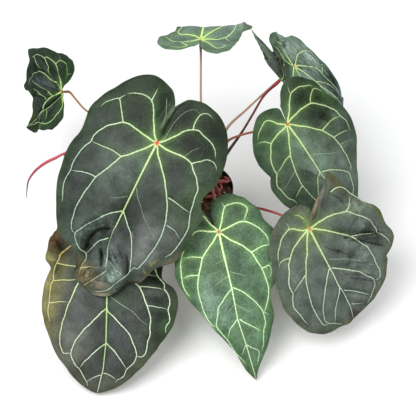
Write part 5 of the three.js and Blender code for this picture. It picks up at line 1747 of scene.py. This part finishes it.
@dataclass
class Stalk:
    """One leaf stalk or flower stalk, from inside the crown to what it carries.

    `base` is the bearing of its foot on the crown, `way` the points that it passes and `radii` its radius at
    even steps. `knee` is how far it swells below the blade.
    """

    name: str
    node: str
    slot: str
    base: float
    way: Pairs
    radii: tuple[float, ...]
    colours: tuple
    blade: BladeShape | None = None
    sides: int = 16
    step: float = 2.5
    knee: float = 0.28

    def build(self) -> Object:
        """Builds the stalk with its widened foot and the swollen knee under the blade.

        Returns:
            The finished piece.
        """
        foot = self.radii[0]
        route = [crown_beside(112, 11.5 + foot, self.base), crown_beside(126, 11.9 + foot, self.base)]
        route += [np.array(point, float) for point in self.way]
        if self.blade:
            out = self.blade.axes()[2]
            route += [np.array(self.blade.at) - out * low for low in (16, 7, 0.98)]
        line = catmull(np.array(route), self.step)
        t = np.linspace(0, 1, len(line))
        radii = along(self.radii, t)
        run = t * np.linalg.norm(np.diff(line, axis=0), axis=1).sum()
        if self.blade:
            radii = radii * (1 + self.knee * np.exp(-(((run[-1] - run - 11) / 7) ** 2)))
            line = np.vstack([line, np.array(self.blade.at) - out * 0.25])
            radii = np.append(radii, radii[-1] * 1.15)
        inner = np.array([crown_beside(97, 5, self.base), crown_beside(102, 8, self.base),
                          crown_beside(107, 10.5 + foot * 0.6, self.base)])
        line = np.vstack([inner, line])
        radii = np.concatenate([[foot * 1.2, foot * 1.35, foot * 1.25], radii])
        angles = around(self.sides)[None]
        groove = 1 - 0.07 * np.exp(-(((angles - math.pi / 2) / 0.5) ** 2)) + 0.015 * np.cos(5 * angles)
        tints = ramp(self.colours, np.linspace(0, 1, len(line)))
        return limb(self.name, Finishes.STALK, self.slot, line, radii[:, None] * groove, tints, self.node)


def petiole(leaf: Leaf, slot: str, base: float, foot: float, top: float, way: str, colours: str) -> Stalk:
    """Makes the stalk of a leaf.

    Args:
        leaf: The leaf that it carries.
        slot: Its material slot.
        base: Bearing of its foot on the crown.
        foot: Radius of its foot.
        top: Radius below the knee.
        way: The points that it passes.
        colours: Its colours from foot to top.

    Returns:
        The stalk.
    """
    radii = (foot, foot * 0.95, (foot + top) / 2, top, top, top, top * 1.2)
    name, node = f"{leaf.name}_stalk", f"petiole_{leaf.name}"
    return Stalk(name, node, slot, base, path(way), radii, rows(colours), leaf.shape)


RED, TAN = "red_stalk", "tan_stalk"
STALKS = (
    petiole(FRONT_LARGE, RED, 205, 3.6, 2.5, "-16,-11,200 -46,-38,250",
            "0 #6b5a38; 0.3 #7a4a34; 0.85 #8a4a38; 1 #b23a2c"),
    petiole(FRONT_LOW, RED, 240, 3.6, 2.4, "-34,-44,147 -101,-112,134",
            "0 #6b5a38; 0.3 #7a4a34; 0.9 #8a5a3c; 1 #a8582e"),
    petiole(FRONT_CENTRE, RED, 277, 3.4, 2.3, "24,-52,146 29,-108,154",
            "0 #6b5a38; 0.3 #8a4a38; 0.9 #94583c; 1 #b8703c"),
    petiole(RIGHT_LOW, RED, 315, 3.4, 2.2, "40,-42,120 70,-66,132 107,-87,147 144,-108,152",
            "0 #6b4a34; 0.2 #7a2c26; 0.6 #8c2a2a; 1 #a85a34"),
    petiole(RIGHT_MID, RED, 352, 3.4, 2.1, "48,34,186 68,41,194 91,44,200 124,48,203",
            "0 #6b4a34; 0.35 #7c3a2c; 0.6 #b05a40; 1 #b8502e"),
    petiole(TOP_FOLDED, RED, 30, 3.4, 2.1, "50,32,163 75,62,183 95,91,200 114,119,216",
            "0 #5a3a2c; 0.3 #4a1c1c; 0.65 #5c2020; 0.85 #8c2626; 1 #a02c28"),
    petiole(TOP_RIGHT, TAN, 66, 3.2, 1.9,
            "47,71,180 84,108,194 122,151,200 149,178,206 162,184,214 164,170,230",
            "0 #7a6244; 0.3 #b08a72; 0.7 #b58e76; 1 #9a8a4a"),
    petiole(BACK, TAN, 100, 3.4, 2.0, "2,87,237 2,107,276 2,131,308",
            "0 #7a6244; 0.4 #b0907c; 0.8 #ac8c78; 0.97 #5c4034; 1 #6a5a3c"),
    petiole(LEFT, TAN, 140, 3.2, 1.7, "-88,45,179 -158,62,207 -199,73,225 -217,86,240",
            "0 #7a6244; 0.4 #a07a50; 0.8 #9c7650; 1 #8c5f36"),
    Stalk("flower_stalk", "peduncle", RED, 172, path("-88,30,170 -158,34,186 -209,19,189 -236,5,187"),
          (3.2, 2.4, 1.9, 1.8, 1.8), rows("0 #6b4a34; 0.4 #a85852; 1 #c8606a")),
)

# Narrow bract at the foot of the flower spike, made as a small leaf.
BRACT = Leaf(
    "bract", "spathe_blade", seed=31, piece="flower_bract", node="spathe", cell=1.5, quilt=0.2, vein_step=1.8,
    shape=BladeShape(
        at=(-236.2, 4.2, 184.5), bearing=20, elevation=62, turn=0, midrib=path("0,0 40,0 84,0"),
        left=path("2,-3 8,-7 18,-9 34,-9.5 52,-7.5 68,-4 84,0"),
        right=path("2,3 8,7 18,9 34,9.5 52,7.5 68,4 84,0"),
        spine=path("0,-4 84,-22"), left_bend=path("0,14 10,20"), right_bend=path("0,14 10,20"),
    ),
    colours=LeafColours(
        Finishes.OLIVE_LEAF, skin="#8a8050", margin="#8a5a44", near="#a89a5c", far="#9a8c54", under="#8a7048",
        eye="#8a7048", margin_width=3.0, glow="#8a8050",
    ),
    veins="faint 3,-2 20,-5 45,-5 66,-2 faint 3,2 20,5 45,5 66,2",
)


@dataclass
class Spike:
    """Flower spike: fleshy axis set with small flowers in spirals."""

    way: Pairs = path("""-236.5,4.7,186.9 -250,-4,185 -262,-10,183 -281,-25,178 -293,-42,170 -295,-59,162
        -295,-70,157""")
    radii: tuple[float, ...] = (1.9, 2.7, 2.7, 2.3, 1.7, 1.2, 0.6)
    colours: tuple = rows("0 #c4606a; 0.3 #c2505c; 0.6 #9a3440; 0.85 #6c4050; 1 #6e6470")
    sides: int = 24
    flowers: int = 8

    def build(self) -> Object:
        """Builds the spike, with one ring of points for each turn of its flowers.

        Returns:
            The finished piece.
        """
        line = catmull(np.array(self.way, float), 1.2)
        t = np.linspace(0, 1, len(line))
        angles = around(self.sides)[None]
        turns = np.arange(len(line))[:, None]
        nubs = 1 + 0.07 * np.cos(self.flowers * angles + turns * math.pi / 2) * np.cos(turns * math.pi)
        table = (along(self.radii, t) * 0.97)[:, None] * nubs
        tints = ramp(self.colours, t)
        return limb("flower_spike", Finishes.SPIKE, "spadix_flesh", line, table, tints, "spadix")


@dataclass
class Crown:
    """Short woody stem with leaf scars, dry sheaths between the stalks, and roots."""

    heights: tuple[float, ...] = (86, 93, 100, 108, 117, 126, 134, 142)
    radii: tuple[float, ...] = (12.5, 13.2, 12.4, 11.6, 10.6, 10, 8.6, 5.5)
    stem_colours: tuple = rows("0 #4a3a28; 0.5 #6b5a3a; 0.8 #6f6a3e; 1 #7f8248")
    paper_colours: tuple = rows("0 #6b4a2c; 0.4 #a8713f; 0.8 #b98450; 1 #8a5a34")
    root_colours: tuple = rows("0 #96504e; 0.35 #c4666c; 0.8 #c86e6c; 1 #c88a72")
    sheaths: tuple = (
        ("sheath_left", 222, 34, 3.4), ("sheath_front", 296, 30, 3.0), ("sheath_back", 120, 38, 3.4),
    )
    roots: tuple = (
        ("root_right", 12, 107, path("26,108 41,103.6"), 3.0),
        ("root_front", 334, 106, path("21,105.5 28,102.4"), 2.2),
        ("root_front_left", 258, 106, path("20,105.5 27,102.6"), 2.2),
        ("root_back", 82, 106, path("22,106 31,103"), 2.4),
    )
    stubs: tuple = (
        (path("36,16,103.5 37.5,6,102.8 39,-2,101.6"), 2.5),
        (path("20,-9,102 27,-3,102.6 33,1,102"), 2.3),
        (path("9,-22,101.5 18,-19.5,102.4 29,-17,101.6"), 2.9),
        (path("44,26,102.4 50,22,102.6 54,16,102"), 2.4),
    )

    def build(self) -> None:
        """Builds the stem, the sheaths and the roots."""
        line = catmull(np.array([crown_beside(z, 0, 0) for z in self.heights]), 0.9)
        t = np.linspace(0, 1, len(line))
        angles = around(48)[None]
        run = t[:, None] * 56
        scars = np.abs(np.sin((run + 3.2 * angles / math.pi) * math.pi / 6.5)) ** 0.4
        lumps = np.sin(3 * angles + run / 4) + np.sin(7 * angles - run / 3)
        table = along(self.radii, t)[:, None] * (0.95 + 0.04 * scars + 0.012 * lumps)
        tints = ramp(self.stem_colours, t)
        limb("crown_stem_piece", Finishes.CROWN, "crown_stem", line, table, tints, "crown")
        for sheath in self.sheaths:
            self.add_sheath(*sheath)
        for name, bearing, start, way, radius in self.roots:
            points = [crown_beside(start - 1, 9, bearing), crown_beside(start, 12.6, bearing)]
            points += [crown_beside(height, room, bearing) for room, height in way]
            self.add_root(f"{name}_piece", np.array(points), radius, name)
        for order, (points, radius) in enumerate(self.stubs):
            self.add_root(f"root_stub_{order}", np.array(points, float), radius)

    def add_sheath(self, node: str, bearing: float, length: float, half: float) -> None:
        """Adds one dry sheath: a curled strip with a torn tip.

        Args:
            node: CAD node that it replaces.
            bearing: Bearing of its foot on the crown.
            length: Its length.
            half: Half its width.
        """
        shape = BladeShape(
            at=tuple(crown_beside(103, 12.9, bearing)), bearing=bearing + 180, elevation=62, turn=180,
            midrib=((0, 0), (length, 0)), left=(), right=(), spine=((0, 0), (6, 10), (14, 48), (length, 50)),
            left_bend=((0, -8),), right_bend=((0, -8),),
        )
        stations, columns = 26, 13
        u = np.linspace(-3, length, stations)[:, None]
        share = np.linspace(-1, 1, columns)[None]
        torn = 1.6 * np.sin(share * 9 + bearing) * (u / length) ** 4
        width = half * (1 - 0.75 * np.clip(u / length, 0, 1) ** 3) * (1 + 0.06 * np.sin(u * 1.3 + bearing))
        flat = np.stack([np.broadcast_to(u + torn, (stations, columns)), width * share], axis=2)
        flat = flat.reshape(-1, 2)
        side = np.sign(flat[:, 1])
        wave = 0.3 * np.sin(flat[:, 1] * 2.6) + 0.25 * np.sin(flat[:, 0] * 0.8 + flat[:, 1])
        top = shape.place(flat, side, wave + 0.3)
        low = shape.place(flat, side, wave - 0.3)
        count = stations * columns
        faces = []
        for i in range(stations - 1):
            for j in range(columns - 1):
                a = i * columns + j
                faces.append((a, a + 1, a + columns + 1, a + columns))
                faces.append((a + count, a + columns + count, a + columns + 1 + count, a + 1 + count))
        ring = [*range(columns), *range(2 * columns - 1, count, columns),
                *range(count - 2, count - columns - 1, -1), *range(count - 2 * columns, 0, -columns)]
        for a, b in zip(ring, ring[1:] + ring[:1]):
            faces.append((b, a, a + count, b + count))
        tints = ramp(self.paper_colours, np.clip(flat[:, 0] / length, 0, 1))
        solid = Solid()
        solid.add(np.vstack([top, low]), np.vstack([flat, flat]), np.vstack([tints, tints]), faces)
        settle(solid.build(f"{node}_paper", Finishes.PAPER), "papery_sheath", node)

    def add_root(self, name: str, points: np.ndarray, radius: float, *nodes: str) -> None:
        """Adds one root, or one broken piece of a root.

        Args:
            name: Name of the piece.
            points: Points that it passes.
            radius: Its radius at the start.
            *nodes: CAD node that it replaces.
        """
        line = catmull(points, 0.8)
        t = np.linspace(0, 1, len(line))[:, None]
        radii = np.interp(t, [0, 0.5, 0.9, 1], [radius, radius * 1.04, radius * 0.95, radius * 0.6])
        angles = around(20)[None]
        felt = 1 + 0.05 * np.sin(4 * angles + t * 17) + 0.04 * np.sin(7 * angles - t * 31)
        limb(name, Finishes.ROOT, "root_skin", line, radii * felt, ramp(self.root_colours, t[:, 0]), *nodes)


# Pot and substrate


@dataclass
class Pot:
    """Tapered nursery pot with a stepped band at the rim, drain holes and a moulded foot."""

    height: float = 105.0
    rim: float = 60.0
    foot: float = 42.0
    wall: float = 1.5
    band: float = 10.0
    step: float = 1.5
    holes: int = 6
    hole_radius: float = 4.5
    hole_circle: float = 30.0
    segments: int = 120

    def inner(self, height: float) -> float:
        """Gives the inner radius at a height."""
        return self.foot + (self.rim - self.step - self.foot) / (self.height - self.band) * height - self.wall

    def build(self) -> Object:
        """Turns the profile, cuts the drain holes and sets the pot in place.

        Returns:
            The finished piece.
        """
        rim, foot, top, shelf = self.rim, self.foot, self.height, self.height - self.band
        profile = [
            (0, 2.2), (foot - 12, 2.2), (foot - 10.5, 0.4), (foot - 9.5, 0.0), (foot - 2, 0.0),
            (foot - 0.7, 0.3), (foot, 1.4), (self.inner(shelf * 0.5) + self.wall, shelf * 0.5),
            (rim - self.step, shelf - 0.8), (rim - self.step + 0.2, shelf - 0.2), (rim - 0.4, shelf),
            (rim, shelf + 0.5), (rim, top - 1.6), (rim - 0.25, top - 0.7), (rim - 0.9, top - 0.05),
            (rim - 1.5, top - 0.15), (rim - 1.9, top - 0.8), (self.inner(shelf) + 0.6, shelf + 1),
            (self.inner(shelf), shelf - 1), (self.inner(shelf * 0.5), shelf * 0.5), (self.inner(4.4), 4.4),
            (self.inner(4.2) - 1, 3.8), (0, 3.8),
        ]
        made = bmesh.new()
        rings = [
            [made.verts.new((radius * math.cos(a) * MM, radius * math.sin(a) * MM, height * MM))
             for a in (around(self.segments) if radius else (0.0,))]
            for radius, height in profile
        ]
        for first, second in zip(rings, rings[1:]):
            for j in range(self.segments):
                k = (j + 1) % self.segments
                corners = ((first, j), (first, k), (second, k), (second, j))
                made.faces.new(list(dict.fromkeys(ring[n % len(ring)] for ring, n in corners)))
        bmesh.ops.recalc_face_normals(made, faces=made.faces)
        piece = self.turned(made, "nursery_pot_shell")
        made = bmesh.new()
        for a in around(self.holes):
            drill = bmesh.ops.create_cone(made, cap_ends=True, segments=32, radius1=self.hole_radius * MM,
                                          radius2=self.hole_radius * MM, depth=16 * MM)
            move = (self.hole_circle * math.cos(a) * MM, self.hole_circle * math.sin(a) * MM, 0)
            bmesh.ops.translate(made, verts=drill["verts"], vec=move)
        cutter = self.turned(made, "drain_cutter")
        cut = piece.modifiers.new("holes", "BOOLEAN")
        cut.object, cut.operation, cut.solver = cutter, "DIFFERENCE", "EXACT"
        piece = plain(piece)
        bpy.data.objects.remove(cutter)
        piece.data.materials.clear()
        piece.data.materials.append(Finishes.POT.value.make())
        piece.data.polygons.foreach_set("use_smooth", [True] * len(piece.data.polygons))
        piece.data.set_sharp_from_angle(angle=math.radians(35))
        return settle(piece, "nursery_pot", "pot")

    @staticmethod
    def turned(made: bmesh.types.BMesh, name: str) -> Object:
        """Turns an edit mesh into an object of that name and frees it.

        Args:
            made: The edit mesh.
            name: Name of the object and its mesh.

        Returns:
            The object.
        """
        mesh = bpy.data.meshes.new(name)
        made.to_mesh(mesh)
        made.free()
        return linked(name, mesh)


def plain(piece: Object) -> Object:
    """Turns an object with modifiers into the plain mesh that they make.

    Args:
        piece: The object with its modifiers.

    Returns:
        The same object.
    """
    view = bpy.context.evaluated_depsgraph_get()
    mesh = bpy.data.meshes.new_from_object(piece.evaluated_get(view))
    mesh.name = piece.name
    piece.modifiers.clear()
    piece.data = mesh
    return piece


class Litter(Enum):
    """What lies on the substrate: pieces per square metre, size in millimetres, spread, finish and seed."""

    CHIPS = (34000.0, (7.5, 4.6, 2.4), 0.55, Finishes.BARK, 2)
    CRUMBS = (120000.0, (2.6, 2.2, 1.7), 0.6, Finishes.COMPOST, 5)
    PERLITE = (6500.0, (3.1, 2.8, 2.5), 0.35, Finishes.PERLITE, 8)
    MOSS = (15000.0, (11.0, 0.7, 0.6), 0.4, Finishes.MOSS, 11)


@dataclass
class Substrate:
    """Bark, compost, perlite and moss that fill the pot.

    `roughness` is the height of the lumps on top, `axis` the place of the crown and `hole` the radius of
    the pit that the crown stands in.
    """

    sectors: int = 72
    roughness: float = 1.6
    axis: tuple[float, float] = (12.0, 5.0)
    hole: float = 13.0

    def ring(self, radius: float, height: float, order: float = 0.0, shift: float = 1.0) -> list[Triple]:
        """Gives the points of a ring, in metres.

        Args:
            radius: Its radius.
            height: Its height.
            order: Its place from the wall inwards. Zero keeps it even, and each other has its own lumps.
            shift: How far it is moved from the pot's axis to the crown's, from 0 to 1.

        Returns:
            The points, once round.
        """
        points = []
        for a in around(self.sectors):
            waves = math.sin(5 * a + order * 2.1) + math.sin(8 * a - order * 3.3) if order else 0.0
            points.append(((self.axis[0] * shift + radius * math.cos(a)) * MM,
                           (self.axis[1] * shift + radius * math.sin(a)) * MM,
                           (height + self.roughness * waves) * MM))
        return points

    def surface(self) -> tuple[list, list]:
        """Gives the rings of the lumpy top, from the wall to the crown, and the faces between them.

        Returns:
            The points and the faces.
        """
        rings = ((56.0, 92.0, 0.0, 0.0), (51.0, 95.0, 1.0, 0.2), (42.0, 96.0, 2.0, 0.4),
                 (32.0, 97.0, 3.0, 0.6), (23.0, 97.5, 4.0, 0.8), (self.hole, 97.2, 5.0, 1.0))
        return sum((self.ring(*ring) for ring in rings), []), band(0, len(rings), self.sectors)

    def build(self) -> None:
        """Builds the fill and strews the litter over it."""
        points, faces = self.surface()
        low = len(points)
        crown, pit = low - self.sectors, low + self.sectors
        points += self.ring(Pot().inner(4.4) - 0.6, 4.6, shift=0.0) + self.ring(self.hole, 80.0)
        for j in range(self.sectors):
            k = (j + 1) % self.sectors
            faces.append((low + j, low + k, k, j))
            faces.append((crown + j, crown + k, pit + k, pit + j))
        faces.append(tuple(low + j for j in range(self.sectors))[::-1])
        faces.append(tuple(pit + j for j in range(self.sectors)))
        mesh = bpy.data.meshes.new("compost_fill")
        mesh.from_pydata(points, [], faces)
        mesh.materials.append(Finishes.COMPOST.value.make())
        turn_outwards(mesh)
        mesh.polygons.foreach_set("use_smooth", [True] * len(mesh.polygons))
        settle(linked("compost_fill", mesh), "bark_substrate", "substrate")
        for kind in Litter:
            self.strew(kind)

    def strew(self, kind: Litter) -> Object:
        """Strews one kind of litter over the top by a seeded tree of geometry nodes.

        Args:
            kind: What is strewn.

        Returns:
            The litter as one plain mesh.
        """
        density, size, spread, finish, seed = kind.value
        points, faces = self.surface()
        name = f"substrate_{kind.name.lower()}"
        mesh = bpy.data.meshes.new(name)
        mesh.from_pydata(points, [], faces)
        piece = linked(name, mesh)
        tree = bpy.data.node_groups.new(name, "GeometryNodeTree")
        inputs = {}
        sockets = (("Geometry", "Geometry"), ("Density", "Float"), ("Size", "Vector"), ("Seed", "Int"))
        for label, form in sockets:
            made = tree.interface.new_socket(label, in_out="INPUT", socket_type=f"NodeSocket{form}")
            inputs[label] = made.identifier
        tree.interface.new_socket("Geometry", in_out="OUTPUT", socket_type="NodeSocketGeometry")
        given = add_node(tree, "NodeGroupInput").outputs
        strewn = add_node(tree, "GeometryNodeDistributePointsOnFaces",
                          {"Mesh": given["Geometry"], "Density": given["Density"], "Seed": given["Seed"]})
        blob = add_node(tree, "GeometryNodeMeshIcoSphere", {"Radius": 0.5, "Subdivisions": 2})
        lumpy = add_node(tree, "ShaderNodeTexNoise", {"Scale": 1.9, "Detail": 1.0}, noise_dimensions="3D")
        centred = add_node(tree, "ShaderNodeVectorMath", {0: lumpy.outputs["Color"], 1: (-0.5, -0.5, -0.5)},
                           operation="ADD")
        pushed = add_node(tree, "ShaderNodeVectorMath", {0: centred.outputs[0], "Scale": 0.55},
                          operation="SCALE")
        shaped = add_node(tree, "GeometryNodeSetPosition",
                          {"Geometry": blob.outputs["Mesh"], "Offset": pushed.outputs[0]})
        spin = add_node(tree, "FunctionNodeRandomValue",
                        {0: (-0.5, -0.5, 0.0), 1: (0.5, 0.5, 6.283), "Seed": given["Seed"]},
                        data_type="FLOAT_VECTOR")
        grow = add_node(tree, "FunctionNodeRandomValue",
                        {2: 1.0 - spread, 3: 1.0 + spread, "Seed": given["Seed"]}, data_type="FLOAT")
        full = add_node(tree, "ShaderNodeVectorMath", {0: given["Size"], "Scale": grow.outputs[1]},
                        operation="SCALE")
        laid = add_node(tree, "GeometryNodeInstanceOnPoints",
                        {"Points": strewn.outputs["Points"], "Instance": shaped.outputs["Geometry"],
                         "Rotation": spin.outputs[0], "Scale": full.outputs[0]})
        real = add_node(tree, "GeometryNodeRealizeInstances", {0: laid.outputs[0]})
        dressed = add_node(tree, "GeometryNodeSetMaterial",
                           {"Geometry": real.outputs[0], "Material": finish.value.make()})
        add_node(tree, "NodeGroupOutput", {"Geometry": dressed.outputs[0]})
        modifier = piece.modifiers.new("strewn", "NODES")
        modifier.node_group = tree
        for label, value in (("Density", density), ("Size", [edge * MM for edge in size]), ("Seed", seed)):
            modifier[inputs[label]] = value
        return settle(plain(piece), "bark_substrate")


# Stage


@dataclass
class Studio:
    """Pale floor, soft light and the camera at the photograph's angle; lengths in metres."""

    eye: Triple = (0.0144, -1.0574, 1.3064)
    tilt: float = 40.0
    lens: float = 76.92
    floor_size: float = 6.0

    def build(self) -> None:
        """Adds floor, lights, world and camera."""
        mesh = bpy.data.meshes.new("studio_floor")
        half = self.floor_size / 2
        corners = [(-half, -half, 0), (half, -half, 0), (half, half, 0), (-half, half, 0)]
        mesh.from_pydata(corners, [], [(0, 1, 2, 3)])
        mesh.materials.append(Finishes.FLOOR.value.make())
        linked("studio_floor", mesh)
        scene = bpy.context.scene
        self.light("key", (-0.9, -0.7, 1.9), 1.5, 44.0)
        self.light("fill", (1.3, -0.9, 1.5), 1.8, 16.0)
        self.light("back", (0.2, 1.5, 1.7), 1.8, 12.5)
        world = bpy.data.worlds.new("studio_air")
        world.use_nodes = True
        air = world.node_tree.nodes["Background"].inputs
        air["Color"].default_value = linear("#f4f6f8")
        air["Strength"].default_value = 0.4
        scene.world = world
        camera = linked("camera", bpy.data.cameras.new("camera"))
        camera.data.lens = self.lens
        camera.data.sensor_width = 36.0
        camera.location = self.eye
        camera.rotation_euler = (math.radians(self.tilt), 0.0, 0.0)
        scene.camera = camera
        scene.view_settings.view_transform = "Standard"

    def light(self, name: str, place: Triple, size: float, power: float) -> None:
        """Adds a square soft light that faces the plant.

        Args:
            name: Name of the light.
            place: Its place in metres.
            size: Edge length in metres.
            power: Power in watts.
        """
        lamp = bpy.data.lights.new(name, "AREA")
        lamp.size = size
        lamp.energy = power
        made = linked(name, lamp)
        made.location = place
        made.rotation_euler = (Vector((0.0, 0.0, 0.15)) - Vector(place)).to_track_quat("-Z", "Y").to_euler()


def main() -> None:
    """Builds every piece in order."""
    logging.basicConfig(level=logging.INFO, format="%(message)s")
    Studio().build()
    for leaf in LEAVES:
        leaf.build()
    for stalk in STALKS:
        stalk.build()
    Spike().build()
    BRACT.build()
    Crown().build()
    Pot().build()
    Substrate().build()


if __name__ == "__main__":
    main()
